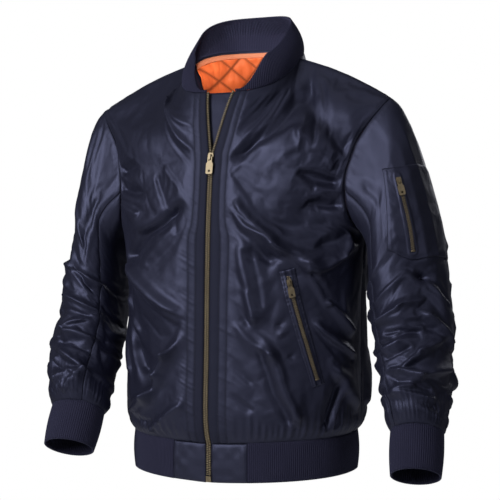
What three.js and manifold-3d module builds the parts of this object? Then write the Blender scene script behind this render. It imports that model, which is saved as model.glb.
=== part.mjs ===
// A bomber jacket held open in the shape it takes when worn: satin shell, rib-knit collar, cuffs and hem,
// a full-length metal front zip, a slanting zip pocket and a zip pocket on the left sleeve.
// Millimetres, +Z up, the front faces -Y and the wearer's left is +X.
// The origin is the middle of the neck hole at the height of the side neck points, where shoulders carry it.
import * as THREE from "three";
import loadManifold from "manifold-3d";

// Cloth and seams
const shellWall = 2.2;
const ribWall = 3;
const seamGap = 0.36;
const armholeGap = 0.45;
const collarGap = 0.5;

// Body block: the columns of cloth run from the hem seam (v = 0) up to the neckline and shoulder seam (v = 1)
const columnsPerHalf = 16;
const rowsBelowArmpit = 13;
const rowsAboveArmpit = 10;
const armpitPlace = 0.6;
const yokePlace = 0.84;
const neckColumns = 7;
const neckShare = neckColumns / columnsPerHalf;
const sectionSquareness = 0.9;
const halfGirth = 275;
const bodyLength = 600;

// Neck, shoulder and front opening
const neckHalfWidth = 97;
const frontNeckDepth = 98;
const frontNeckDrop = 56;
const backNeckDepth = 78;
const backNeckRise = 26;
const shoulderPoint = { x: 250, y: -12, z: -67 };
const shoulderLift = 6;
const sliderHeight = -150;
const raisedHem = { side: 12, fadesBy: 0.5 };
const zipHalfOpening = 4.6;
const openingSpread = { wearerLeft: 27, wearerRight: 13 };

// One row for each level of the body: heights at centre front, centre back and side, then the half width,
// the depth in front of and behind the side line, and how far round each front and back panel reaches
const bodySections = [
  {
    v: 0.0, zFront: -592, zBack: -592, zSide: -592,
    half: 186, front: 126, back: 119, frontTurn: 90, backTurn: 90,
  },
  {
    v: 0.04, zFront: -572, zBack: -572, zSide: -572,
    half: 197, front: 133, back: 128, frontTurn: 90, backTurn: 90,
  },
  {
    v: 0.11, zFront: -536, zBack: -536, zSide: -536,
    half: 200, front: 136, back: 131, frontTurn: 90, backTurn: 90,
  },
  {
    v: 0.27, zFront: -455, zBack: -452, zSide: -452,
    half: 199, front: 133, back: 127, frontTurn: 90, backTurn: 90,
  },
  {
    v: 0.43, zFront: -370, zBack: -365, zSide: -366,
    half: 200, front: 131, back: 124, frontTurn: 90, backTurn: 90,
  },
  {
    v: 0.6, zFront: -278, zBack: -270, zSide: -275,
    half: 207, front: 128, back: 127, frontTurn: 90, backTurn: 90,
  },
  {
    v: 0.63, zFront: -262, zBack: -251, zSide: -258,
    half: 212, front: 127, back: 128, frontTurn: 73, backTurn: 80,
  },
  {
    v: 0.68, zFront: -236, zBack: -220, zSide: -229,
    half: 215, front: 125, back: 129, frontTurn: 64.5, backTurn: 70,
  },
  {
    v: 0.76, zFront: -194, zBack: -166, zSide: -187,
    half: 219, front: 121, back: 129, frontTurn: 62, backTurn: 65,
  },
  {
    v: 0.84, zFront: -146, zBack: -106, zSide: -146,
    half: 223, front: 115, back: 124, frontTurn: 66, backTurn: 65,
  },
];

// Creases and ridges of the body, along lines of cloth: u is the share of a half round from the centre line,
// v the share of the way up, both in the sense of the sections above; a height below zero is a hollow
const frontLeftFolds = [
  { fromU: 0.16, fromV: 0.83, toU: 0.5, toV: 0.93, width: 16, height: -5 },
  { fromU: 0.12, fromV: 0.89, toU: 0.27, toV: 0.96, width: 13, height: -3.5 },
  { fromU: 0.53, fromV: 0.96, toU: 0.63, toV: 0.9, width: 15, height: -4 },
  { fromU: 0.63, fromV: 0.9, toU: 0.9, toV: 0.84, width: 16, height: -5 },
  { fromU: 0.64, fromV: 0.77, toU: 0.92, toV: 0.75, width: 14, height: -4.5 },
  { fromU: 0.67, fromV: 0.68, toU: 0.95, toV: 0.69, width: 15, height: -5 },
  { fromU: 0.18, fromV: 0.68, toU: 0.3, toV: 0.59, width: 18, height: 6 },
  { fromU: 0.3, fromV: 0.59, toU: 0.48, toV: 0.53, width: 17, height: 7 },
  { fromU: 0.48, fromV: 0.53, toU: 0.78, toV: 0.58, width: 17, height: 7 },
  { fromU: 0.45, fromV: 0.63, toU: 0.75, toV: 0.64, width: 24, height: -6 },
  { fromU: 0.26, fromV: 0.55, toU: 0.42, toV: 0.49, width: 15, height: -4 },
  { fromU: 0.55, fromV: 0.5, toU: 0.85, toV: 0.33, width: 17, height: 5 },
  { fromU: 0.6, fromV: 0.34, toU: 0.87, toV: 0.25, width: 15, height: 4 },
  { fromU: 0.14, fromV: 0.57, toU: 0.21, toV: 0.38, width: 15, height: 4 },
  { fromU: 0.15, fromV: 0.35, toU: 0.3, toV: 0.28, width: 15, height: 4.5 },
  { fromU: 0.3, fromV: 0.28, toU: 0.45, toV: 0.09, width: 16, height: 5 },
  { fromU: 0.75, fromV: 0.16, toU: 0.67, toV: 0.05, width: 14, height: -5 },
  { fromU: 0.74, fromV: 0.2, toU: 0.92, toV: 0.11, width: 22, height: 6 },
];
const frontRightFolds = [
  { fromU: 0.42, fromV: 0.94, toU: 0.1, toV: 0.9, width: 14, height: 4 },
  { fromU: 0.36, fromV: 0.93, toU: 0.08, toV: 0.84, width: 14, height: 4 },
  { fromU: 0.65, fromV: 0.8, toU: 0.9, toV: 0.79, width: 14, height: -4 },
  { fromU: 0.62, fromV: 0.72, toU: 0.92, toV: 0.73, width: 14, height: -4 },
  { fromU: 0.21, fromV: 0.67, toU: 0.56, toV: 0.53, width: 17, height: -6 },
  { fromU: 0.57, fromV: 0.51, toU: 0.07, toV: 0.37, width: 17, height: 6 },
  { fromU: 0.07, fromV: 0.35, toU: 0.18, toV: 0.26, width: 15, height: 6 },
  { fromU: 0.18, fromV: 0.26, toU: 0.34, toV: 0.13, width: 15, height: 7 },
  { fromU: 0.34, fromV: 0.13, toU: 0.48, toV: 0.08, width: 15, height: 5 },
  { fromU: 0.62, fromV: 0.42, toU: 0.58, toV: 0.29, width: 15, height: -5 },
  { fromU: 0.58, fromV: 0.29, toU: 0.32, toV: 0.17, width: 15, height: -5 },
  { fromU: 0.05, fromV: 0.19, toU: 0.11, toV: 0.11, width: 14, height: 4 },
  { fromU: 0.11, fromV: 0.11, toU: 0.32, toV: 0.03, width: 14, height: 4 },
];
const backFolds = [
  { fromU: -0.45, fromV: 0.93, toU: -0.15, toV: 0.82, width: 18, height: -4 },
  { fromU: 0.45, fromV: 0.93, toU: 0.18, toV: 0.8, width: 18, height: -4 },
  { fromU: 0.9, fromV: 0.72, toU: 0.45, toV: 0.62, width: 18, height: -5 },
  { fromU: -0.9, fromV: 0.74, toU: -0.5, toV: 0.6, width: 18, height: -5 },
  { fromU: -0.2, fromV: 0.6, toU: 0.35, toV: 0.52, width: 20, height: 5 },
  { fromU: 0.8, fromV: 0.5, toU: 0.3, toV: 0.36, width: 18, height: 5 },
  { fromU: -0.85, fromV: 0.46, toU: -0.3, toV: 0.34, width: 18, height: 5 },
  { fromU: -0.1, fromV: 0.34, toU: -0.35, toV: 0.14, width: 17, height: 5 },
  { fromU: 0.15, fromV: 0.3, toU: 0.42, toV: 0.1, width: 17, height: 5 },
  { fromU: 0.75, fromV: 0.24, toU: 0.9, toV: 0.1, width: 18, height: 5 },
  { fromU: -0.7, fromV: 0.2, toU: -0.92, toV: 0.08, width: 18, height: 5 },
];

// Sleeves: each row is one ring, given by its outer and inner points seen from the front, the place of its
// middle front to back, how far it pitches forwards, and half its size front to back
const sleeveRows = 26;
const sleeveColumns = 2 * rowsAboveArmpit;
const sleeveGirth = 420;
const sleeveLength = 520;
const leftSleeveRings = [
  { s: 0.0, outX: 250, outZ: -67, inX: 209, inZ: -275, y: 0, pitch: 0, depth: 64 },
  { s: 0.06, outX: 266, outZ: -82, inX: 217, inZ: -291, y: -3, pitch: 0, depth: 70 },
  { s: 0.13, outX: 282, outZ: -118, inX: 221, inZ: -311, y: -5, pitch: 1, depth: 73 },
  { s: 0.22, outX: 301, outZ: -180, inX: 222, inZ: -340, y: -6, pitch: 3, depth: 73 },
  { s: 0.34, outX: 323, outZ: -250, inX: 223, inZ: -374, y: -10, pitch: 7, depth: 71 },
  { s: 0.46, outX: 338, outZ: -318, inX: 228, inZ: -408, y: -18, pitch: 12, depth: 68 },
  { s: 0.6, outX: 351, outZ: -390, inX: 239, inZ: -446, y: -34, pitch: 19, depth: 65 },
  { s: 0.74, outX: 356, outZ: -450, inX: 254, inZ: -482, y: -56, pitch: 25, depth: 61 },
  { s: 0.87, outX: 359, outZ: -504, inX: 267, inZ: -518, y: -78, pitch: 29, depth: 56 },
  { s: 0.95, outX: 363, outZ: -536, inX: 274, inZ: -541, y: -92, pitch: 30, depth: 51 },
  { s: 1.0, outX: 360, outZ: -549, inX: 284, inZ: -561, y: -100, pitch: 30, depth: 37 },
];
const rightSleeveRings = [
  { s: 0.0, outX: 250, outZ: -67, inX: 209, inZ: -275, y: 0, pitch: 0, depth: 64 },
  { s: 0.06, outX: 266, outZ: -84, inX: 216, inZ: -291, y: -3, pitch: 0, depth: 70 },
  { s: 0.13, outX: 277, outZ: -116, inX: 219, inZ: -311, y: -5, pitch: 1, depth: 73 },
  { s: 0.22, outX: 287, outZ: -172, inX: 219, inZ: -340, y: -6, pitch: 4, depth: 73 },
  { s: 0.34, outX: 297, outZ: -240, inX: 218, inZ: -374, y: -10, pitch: 9, depth: 71 },
  { s: 0.46, outX: 311, outZ: -305, inX: 215, inZ: -408, y: -18, pitch: 15, depth: 68 },
  { s: 0.6, outX: 319, outZ: -376, inX: 209, inZ: -447, y: -36, pitch: 24, depth: 65 },
  { s: 0.74, outX: 318, outZ: -440, inX: 201, inZ: -484, y: -66, pitch: 31, depth: 61 },
  { s: 0.87, outX: 306, outZ: -498, inX: 195, inZ: -521, y: -100, pitch: 35, depth: 56 },
  { s: 0.95, outX: 293, outZ: -536, inX: 188, inZ: -541, y: -118, pitch: 35, depth: 51 },
  { s: 1.0, outX: 279, outZ: -560, inX: 191, inZ: -552, y: -126, pitch: 32, depth: 38 },
];
const leftSleeveFolds = [
  { fromU: 0.24, fromV: 0.34, toU: 0.11, toV: 0.48, width: 16, height: -6 },
  { fromU: 0.11, fromV: 0.48, toU: 0, toV: 0.55, width: 16, height: -6 },
  { fromU: 0.3, fromV: 0.55, toU: 0.2, toV: 0.53, width: 14, height: 6 },
  { fromU: 0.3, fromV: 0.56, toU: 0.13, toV: 0.6, width: 14, height: 5 },
  { fromU: 0.1, fromV: 0.5, toU: 0, toV: 0.6, width: 14, height: 6 },
  { fromU: 0.11, fromV: 0.6, toU: 0, toV: 0.69, width: 14, height: 6 },
  { fromU: 0.32, fromV: 0.69, toU: 0.23, toV: 0.67, width: 14, height: 5 },
  { fromU: 0.22, fromV: 0.78, toU: 0.07, toV: 0.69, width: 14, height: 6 },
  { fromU: 0.25, fromV: 0.8, toU: 0.16, toV: 0.83, width: 14, height: 6 },
  { fromU: 0.16, fromV: 0.83, toU: 0, toV: 0.77, width: 14, height: 6 },
  { fromU: 0.29, fromV: 0.88, toU: 0.2, toV: 0.86, width: 13, height: 5 },
  { fromU: 0.75, fromV: 0.4, toU: 0.9, toV: 0.5, width: 16, height: -5 },
  { fromU: 0.7, fromV: 0.55, toU: 0.88, toV: 0.6, width: 15, height: 5 },
  { fromU: 0.66, fromV: 0.66, toU: 0.85, toV: 0.7, width: 15, height: 6 },
  { fromU: 0.68, fromV: 0.78, toU: 0.9, toV: 0.8, width: 14, height: 6 },
  { fromU: 0.6, fromV: 0.88, toU: 0.8, toV: 0.86, width: 14, height: 5 },
  { fromU: 0.45, fromV: 0.6, toU: 0.58, toV: 0.56, width: 14, height: -5 },
  { fromU: 0.42, fromV: 0.72, toU: 0.6, toV: 0.7, width: 14, height: 5 },
  { fromU: 0.4, fromV: 0.84, toU: 0.62, toV: 0.82, width: 14, height: 5 },
];
const rightSleeveFolds = [
  { fromU: 0.05, fromV: 0.36, toU: 0.2, toV: 0.42, width: 16, height: -5 },
  { fromU: 0.12, fromV: 0.49, toU: 0.35, toV: 0.39, width: 15, height: 5 },
  { fromU: 0.2, fromV: 0.46, toU: 0.3, toV: 0.46, width: 13, height: -4 },
  { fromU: 0.15, fromV: 0.6, toU: 0.33, toV: 0.56, width: 14, height: 5 },
  { fromU: 0.34, fromV: 0.6, toU: 0.2, toV: 0.73, width: 14, height: 6 },
  { fromU: 0.21, fromV: 0.74, toU: 0.34, toV: 0.72, width: 13, height: 6 },
  { fromU: 0.2, fromV: 0.83, toU: 0.33, toV: 0.87, width: 14, height: 6 },
  { fromU: 0.18, fromV: 0.93, toU: 0.34, toV: 0.88, width: 13, height: 6 },
  { fromU: 0.34, fromV: 0.9, toU: 0.24, toV: 0.96, width: 12, height: 5 },
  { fromU: 0.75, fromV: 0.42, toU: 0.92, toV: 0.5, width: 16, height: -5 },
  { fromU: 0.68, fromV: 0.55, toU: 0.9, toV: 0.6, width: 15, height: 6 },
  { fromU: 0.66, fromV: 0.68, toU: 0.88, toV: 0.72, width: 15, height: 6 },
  { fromU: 0.66, fromV: 0.8, toU: 0.9, toV: 0.82, width: 14, height: 6 },
  { fromU: 0.62, fromV: 0.9, toU: 0.84, toV: 0.9, width: 13, height: 5 },
  { fromU: 0.42, fromV: 0.62, toU: 0.6, toV: 0.58, width: 14, height: 5 },
  { fromU: 0.42, fromV: 0.75, toU: 0.6, toV: 0.73, width: 14, height: 5 },
  { fromU: 0.4, fromV: 0.87, toU: 0.6, toV: 0.86, width: 14, height: 5 },
];
const underSleeve = { from: 7, to: 13 };

// Gathers stand on every second column next to the ribs
const hemGather = { height: 3.4, start: 0.012, peak: 0.05, end: 0.2 };
const cuffGather = { height: 3, start: 0.005, peak: 0.06, end: 0.2 };

// Rib-knit collar, cuffs and hem
const cuff = { length: 64, rows: 3, narrowing: 0.06, belly: 1.5 };
const collar = {
  sideHeight: 49, backHeight: 52, rows: 4, lean: 20, belly: 3.5, endHeight: 3, risesFrom: 0.03, fullAt: 0.26,
};
const hem = { height: 59, rows: 3, belly: 2, tabColumns: 3 };

// Front zip
const chain = { half: 3.7, thickness: 2, sink: 0.2, edgeGap: 0.7 };
const tape = { under: 12, thickness: 0.8, sink: 2.9 };
const windFlap = { under: 14, reach: 46, thickness: 1.2, sink: 4.05, slack: 2.4, columns: 3 };
const zipBox = { halfWidth: 4.1, height: 9, thickness: 2.4 };
const sliderDrop = 7.5;

// Quilted lining behind the neck, and the strip that binds its top edge
const lining = { columns: neckColumns, rows: 5, fine: 2, thickness: 1.4, sink: 2.8, puff: 3.2, diamond: 58 };
const binding = { rows: 0.5, sink: 2.9, thickness: 2.6 };

// Zip pockets: places are columns and rows of the cloth they lie on
const frontPocket = {
  top: { column: 6.1, row: 11.3 },
  bottom: { column: 9.45, row: 4.3 },
  width: 24, thickness: 1.3, lift: 1.2, along: 14, across: 4,
  zip: { top: { across: 0.5, along: 0.95 }, bottom: { across: 0.5, along: 0.06 } },
};
const sleevePocket = {
  edges: [
    { across: 0, topColumn: 10.9, topRow: 2.7, bottomColumn: 11.85, bottomRow: 8.2 },
    { across: 0.33, topColumn: 9.6, topRow: 4.3, bottomColumn: 10.2, bottomRow: 10.6 },
    { across: 0.66, topColumn: 8, topRow: 5.2, bottomColumn: 8.3, bottomRow: 11.3 },
    { across: 1, topColumn: 6.4, topRow: 5.7, bottomColumn: 6.4, bottomRow: 11.5 },
  ],
  thickness: 1.6, lift: 1.7, along: 8, across: 10,
  zip: { top: { across: 0.27, along: 0.9 }, bottom: { across: 0.36, along: 0.1 } },
};
const pocketChain = { width: 5.4, thickness: 1.6, gap: 0.6 };

// Slider and pull: the pull turns on its top bar, which passes through the slider's arch
const slider = {
  topWidth: 9.4, bottomWidth: 8, length: 13, plate: 1.8, standOff: 3.3, archWidth: 3, archHeight: 3.7,
  archLength: 8.4, archStrip: 1.2, legLength: 1.6,
};
const pull = {
  neckWidth: 7.6, width: 11.4, length: 26, thickness: 1.4, bar: 1.6, window: 5.4, windowWidth: 4.4,
};
const pocketSliderScale = 0.85;

const satin = { color: 0x20212f, roughness: 0.42, metalness: 0 };
const knit = { color: 0x191a26, roughness: 0.9, metalness: 0 };
const quilt = { color: 0xee6a2a, roughness: 0.55, metalness: 0 };
const paleQuilt = { color: 0xf09060, roughness: 0.6, metalness: 0 };
const weave = { color: 0x1a1b28, roughness: 0.8, metalness: 0 };
const brass = { color: 0x8a7f5c, roughness: 0.38, metalness: 0.9 };

const point = (x, y, z) => new THREE.Vector3(x, y, z);
const { clamp, degToRad, lerp, smoothstep } = THREE.MathUtils;
const series = (count, make) => Array.from({ length: count }, (_, i) => make(i));

// Reads one named column of a table at a place between its rows, on a smooth curve
function readColumn(rows, placeName, column, place) {
  const last = rows.length - 1;
  const at = clamp(rows.findIndex((row) => row[placeName] >= place) - 1, 0, last - 1);
  const slope = (i) => {
    const before = rows[Math.max(i - 1, 0)];
    const after = rows[Math.min(i + 1, last)];
    return (after[column] - before[column]) / (after[placeName] - before[placeName]);
  };
  const [low, high] = [rows[at], rows[at + 1]];
  const width = high[placeName] - low[placeName];
  const t = clamp((place - low[placeName]) / width, 0, 1);
  return hermite(low[column], slope(at) * width, high[column], slope(at + 1) * width, t);
}

function hermite(start, startSlope, end, endSlope, t) {
  const t2 = t * t;
  const t3 = t2 * t;
  return (2 * t3 - 3 * t2 + 1) * start + (t3 - 2 * t2 + t) * startSlope
    + (3 * t2 - 2 * t3) * end + (t3 - t2) * endSlope;
}

function hermitePoint(start, startSlope, end, endSlope, t) {
  const along = (axis) => hermite(start[axis], startSlope[axis], end[axis], endSlope[axis], t);
  return point(along("x"), along("y"), along("z"));
}

// A point of the body below the yoke, on the wearer's left half
function sectionPoint(face, u, v) {
  const read = (column) => readColumn(bodySections, "v", column, v);
  const isFront = face === "front";
  const sweep = degToRad(read(isFront ? "frontTurn" : "backTurn")) * u;
  const depth = isFront ? -read("front") : read("back");
  const middle = read(isFront ? "zFront" : "zBack");
  return point(
    read("half") * Math.sin(sweep) ** sectionSquareness,
    depth * Math.max(Math.cos(sweep), 0) ** sectionSquareness,
    lerp(middle, read("zSide"), smoothstep(u, 0, 1)),
  );
}

// The upper edge of a panel: half of the neckline and then the shoulder seam
function topEdgePoint(face, u) {
  if (u <= neckShare) {
    const turn = (Math.PI / 2) * (u / neckShare);
    const away = 1 - Math.cos(turn);
    const across = neckHalfWidth * Math.sin(turn);
    return face === "front"
      ? point(across, -frontNeckDepth * (1 - away), -frontNeckDrop * (1 - away ** 1.3))
      : point(across, backNeckDepth * (1 - away), backNeckRise * (1 - away ** 1.8));
  }
  const w = (u - neckShare) / (1 - neckShare);
  const lift = shoulderLift * Math.sin(Math.PI * w);
  return point(lerp(neckHalfWidth, shoulderPoint.x, w), shoulderPoint.y * w, shoulderPoint.z * w + lift);
}

// A point anywhere on the wearer's left half: sections up to the yoke, then a rounded run up to the top edge
function bodyPoint(face, u, v) {
  if (v <= yokePlace) return sectionPoint(face, u, v);
  const step = 0.02;
  const start = sectionPoint(face, u, yokePlace);
  const below = sectionPoint(face, u, yokePlace - step);
  const end = topEdgePoint(face, u);
  const reach = start.distanceTo(end);
  const startRun = start.clone().sub(below).normalize().multiplyScalar(reach);
  const towardsMiddle = face === "front" ? 1 : -1;
  const shoulderPart = smoothstep(u, neckShare * 0.5, 1);
  const endRun = point(0, towardsMiddle * lerp(0.4, 0.95, shoulderPart), lerp(0.92, 0.42, shoulderPart));
  endRun.normalize().multiplyScalar(reach);
  return hermitePoint(start, startRun, end, endRun, (v - yokePlace) / (1 - yokePlace));
}

// The two fronts part above the slider, and a zip's width lies between them all the way down
function partFronts(spot, u, side) {
  const spread = side > 0 ? openingSpread.wearerLeft : openingSpread.wearerRight;
  const rise = clamp((spot.z - sliderHeight) / (-frontNeckDrop - sliderHeight), 0, 1);
  const nearZip = Math.max(1 - u / neckShare, 0) ** 1.5;
  spot.x += (zipHalfOpening + spread * rise) * nearZip;
  return spot;
}

// The hem rides up a little at the wearer's left side
function raiseHem(spot, v) {
  const share = clamp(spot.x / bodySections[0].half, 0, 1);
  spot.z += raisedHem.side * share * (1 - smoothstep(v, 0, raisedHem.fadesBy));
  return spot;
}

// Rows crowd a little towards the hem, where the gathers are
const rowPlaces = [
  ...series(rowsBelowArmpit, (i) => armpitPlace * (i / rowsBelowArmpit) ** 1.15),
  ...series(rowsAboveArmpit + 1, (i) => lerp(armpitPlace, 1, i / rowsAboveArmpit)),
];

// How far a table of folds moves a place on the cloth, with both sizes of the cloth given in millimetres
function foldHeight(folds, u, v, width, length, wraps = false) {
  return folds.reduce((sum, fold) => {
    const run = { x: (fold.toU - fold.fromU) * width, y: (fold.toV - fold.fromV) * length };
    let shift = u - fold.fromU;
    if (wraps) shift -= Math.round(shift - (fold.toU - fold.fromU) / 2);
    const here = { x: shift * width, y: (v - fold.fromV) * length };
    const share = clamp((here.x * run.x + here.y * run.y) / (run.x ** 2 + run.y ** 2), 0, 1);
    const off = Math.hypot(here.x - run.x * share, here.y - run.y * share) / fold.width;
    return sum + fold.height * Math.exp(-off * off);
  }, 0);
}

function gatherHeight(gather, column, place) {
  const rising = smoothstep(place, gather.start, gather.peak);
  const falling = 1 - smoothstep(place, gather.peak, gather.end);
  return gather.height * (column % 2 === 0 ? 1 : -1) * rising * falling;
}

function gridNormals(grid, wraps, facing) {
  const rows = grid.length;
  const columns = grid[0].length;
  return grid.map((row, i) =>
    row.map((_, j) => {
      const left = wraps ? row[(j + columns - 1) % columns] : row[Math.max(j - 1, 0)];
      const right = wraps ? row[(j + 1) % columns] : row[Math.min(j + 1, columns - 1)];
      const low = grid[Math.max(i - 1, 0)][j];
      const high = grid[Math.min(i + 1, rows - 1)][j];
      const normal = point().crossVectors(right.clone().sub(left), high.clone().sub(low));
      return normal.normalize().multiplyScalar(facing);
    }),
  );
}

// Moves every point of a grid along its normal by a height that depends on its column and row
function raise(grid, wraps, facing, heightAt) {
  const normals = gridNormals(grid, wraps, facing);
  const lifted = (spot, i, j) => spot.clone().addScaledVector(normals[i][j], heightAt(i, j));
  return grid.map((row, i) => row.map((spot, j) => lifted(spot, i, j)));
}

function frontGrid(side, folds) {
  const smooth = rowPlaces.map((v) =>
    series(columnsPerHalf + 1, (j) => {
      const u = j / columnsPerHalf;
      const spot = partFronts(bodyPoint("front", u, v), u, side);
      spot.x *= side;
      return raiseHem(spot, v);
    }),
  );
  return raise(smooth, false, side, (i, j) => {
    const u = j / columnsPerHalf;
    const v = rowPlaces[i];
    const calm = smoothstep(u, 0.05, 0.2) * smoothstep(1 - u, 0, 0.1) * smoothstep(1 - v, 0, 0.06);
    return calm * (smoothstep(v, 0, 0.03) * foldHeight(folds, u, v, halfGirth, bodyLength)
      + gatherHeight(hemGather, j, v));
  });
}

function backGrid(folds) {
  const columns = 2 * columnsPerHalf;
  const smooth = rowPlaces.map((v) =>
    series(columns + 1, (j) => {
      const u = (j - columnsPerHalf) / columnsPerHalf;
      const spot = bodyPoint("back", Math.abs(u), v);
      spot.x *= Math.sign(u);
      return raiseHem(spot, v);
    }),
  );
  return raise(smooth, false, -1, (i, j) => {
    const u = (j - columnsPerHalf) / columnsPerHalf;
    const v = rowPlaces[i];
    const calm = smoothstep(1 - Math.abs(u), 0, 0.1) * smoothstep(1 - v, 0, 0.06);
    return calm * (smoothstep(v, 0, 0.03) * foldHeight(folds, u, v, halfGirth, bodyLength)
      + gatherHeight(hemGather, j, v));
  });
}

// The edge that a sleeve is sewn to, from the shoulder point down the front, under the arm and up the back
function armholeLoop(front, back, side) {
  const top = front.length - 1;
  const backColumn = side > 0 ? 2 * columnsPerHalf : 0;
  const down = series(rowsAboveArmpit, (i) => front[top - i][columnsPerHalf]);
  const up = series(rowsAboveArmpit, (i) => back[rowsBelowArmpit + i][backColumn]);
  return [...down, ...up];
}

function sleeveFrame(rings, s, side) {
  const read = (column) => readColumn(rings, "s", column, s);
  const outer = point(side * read("outX"), read("y"), read("outZ"));
  const inner = point(side * read("inX"), read("y"), read("inZ"));
  const pitch = degToRad(read("pitch"));
  const outwards = outer.clone().sub(inner);
  const half = outwards.length() / 2;
  outwards.normalize();
  const forwards = point(0, -Math.cos(pitch), Math.sin(pitch));
  forwards.addScaledVector(outwards, -forwards.dot(outwards)).normalize();
  const along = point().crossVectors(outwards, forwards).multiplyScalar(side);
  const centre = outer.add(inner).multiplyScalar(0.5);
  return { centre, outwards, forwards, along, half, depth: read("depth") };
}

// A sleeve's rings start as the armhole and turn into ovals on the way down
function sleeveGrid(rings, loop, side, folds) {
  const start = sleeveFrame(rings, 0, side);
  const local = loop.map((spot) => {
    const arm = spot.clone().sub(start.centre);
    return { out: arm.dot(start.outwards), fore: arm.dot(start.forwards), along: arm.dot(start.along) };
  });
  const smooth = series(sleeveRows + 1, (i) => {
    const s = i / sleeveRows;
    const ring = sleeveFrame(rings, s, side);
    const roundness = smoothstep(s, 0, 0.3);
    return local.map((arm, j) => {
      const turn = (2 * Math.PI * j) / loop.length;
      return ring.centre.clone()
        .addScaledVector(ring.outwards, lerp(arm.out, ring.half * Math.cos(turn), roundness))
        .addScaledVector(ring.forwards, lerp(arm.fore, ring.depth * Math.sin(turn), roundness))
        .addScaledVector(ring.along, arm.along * (1 - smoothstep(s, 0, 0.12)));
    });
  });
  return raise(smooth, true, side, (i, j) => {
    const s = i / sleeveRows;
    const calm = smoothstep(s, 0, 0.08) * smoothstep(1 - s, 0, 0.04);
    return calm * foldHeight(folds, j / loop.length, s, sleeveGirth, sleeveLength, true)
      + gatherHeight(cuffGather, j, 1 - s);
  });
}

const frontLeft = frontGrid(1, frontLeftFolds);
const frontRight = frontGrid(-1, frontRightFolds);
const back = backGrid(backFolds);
const sleeves = [
  { name: "left", side: 1, rings: leftSleeveRings, front: frontLeft, folds: leftSleeveFolds },
  { name: "right", side: -1, rings: rightSleeveRings, front: frontRight, folds: rightSleeveFolds },
];
for (const sleeve of sleeves) {
  const loop = armholeLoop(sleeve.front, back, sleeve.side);
  sleeve.grid = sleeveGrid(sleeve.rings, loop, sleeve.side, sleeve.folds);
  sleeve.end = sleeveFrame(sleeve.rings, 1, sleeve.side);
}

// Rows of a grid between two columns, going on past the last column to the first where the grid wraps
const slice = (grid, from, to) =>
  grid.map((row) => series(to - from + 1, (k) => row[(from + k) % row.length]));

// A cuff runs on from the end of its sleeve
function cuffGrid(sleeve) {
  const { centre, along } = sleeve.end;
  return series(cuff.rows + 1, (i) => {
    const t = i / cuff.rows;
    return sleeve.grid[sleeveRows].map((spot) => {
      const arm = spot.clone().sub(centre);
      const drop = arm.dot(along);
      const flat = arm.addScaledVector(along, -drop);
      const size = 1 - cuff.narrowing * t + (cuff.belly / 40) * Math.sin(Math.PI * t);
      return centre.clone().addScaledVector(flat, size).addScaledVector(along, drop + cuff.length * t);
    });
  });
}

// The neckline as one run from the wearer's left front, round the back, to the wearer's right front
function necklinePoints() {
  const top = rowPlaces.length - 1;
  const left = series(neckColumns, (j) => frontLeft[top][j]);
  const behind = series(2 * neckColumns + 1, (j) => back[top][columnsPerHalf + neckColumns - j]);
  const right = series(neckColumns, (j) => frontRight[top][neckColumns - 1 - j]);
  return [...left, ...behind, ...right];
}

// The collar stands on the neckline, leans inwards and tapers to nothing at the zip
function collarGrid() {
  const neckline = necklinePoints();
  const count = neckline.length - 1;
  return series(collar.rows + 1, (i) => {
    const t = i / collar.rows;
    return neckline.map((spot, j) => {
      const fromEnd = Math.min(j, count - j) / (2 * neckColumns);
      const full = smoothstep(fromEnd, collar.risesFrom, collar.fullAt);
      const tallest = lerp(collar.sideHeight, collar.backHeight, smoothstep(fromEnd, 0.5, 1));
      const height = lerp(collar.endHeight, tallest, full);
      const inwards = point(-spot.x, -spot.y * 1.1, 0).normalize();
      const lean = collar.lean * full * t ** 1.3 - collar.belly * full * Math.sin(Math.PI * t);
      return spot.clone().addScaledVector(inwards, lean).add(point(0, 0, height * t));
    });
  });
}

// The hem hangs straight down from the lower edge of the body, in one run from zip to zip
function hemGrid() {
  const left = frontLeft[0];
  const behind = series(2 * columnsPerHalf - 1, (j) => back[0][2 * columnsPerHalf - 1 - j]);
  const right = series(columnsPerHalf + 1, (j) => frontRight[0][columnsPerHalf - j]);
  const seam = [...left, ...behind, ...right];
  return series(hem.rows + 1, (i) => {
    const t = i / hem.rows;
    const size = 1 + (hem.belly / 160) * Math.sin(Math.PI * t);
    return seam.map((spot) => {
      const grow = Math.abs(spot.x) > 60 ? size : lerp(1, size, Math.abs(spot.x) / 60);
      return point(spot.x * grow, spot.y * grow, spot.z - hem.height * t);
    });
  });
}

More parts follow.
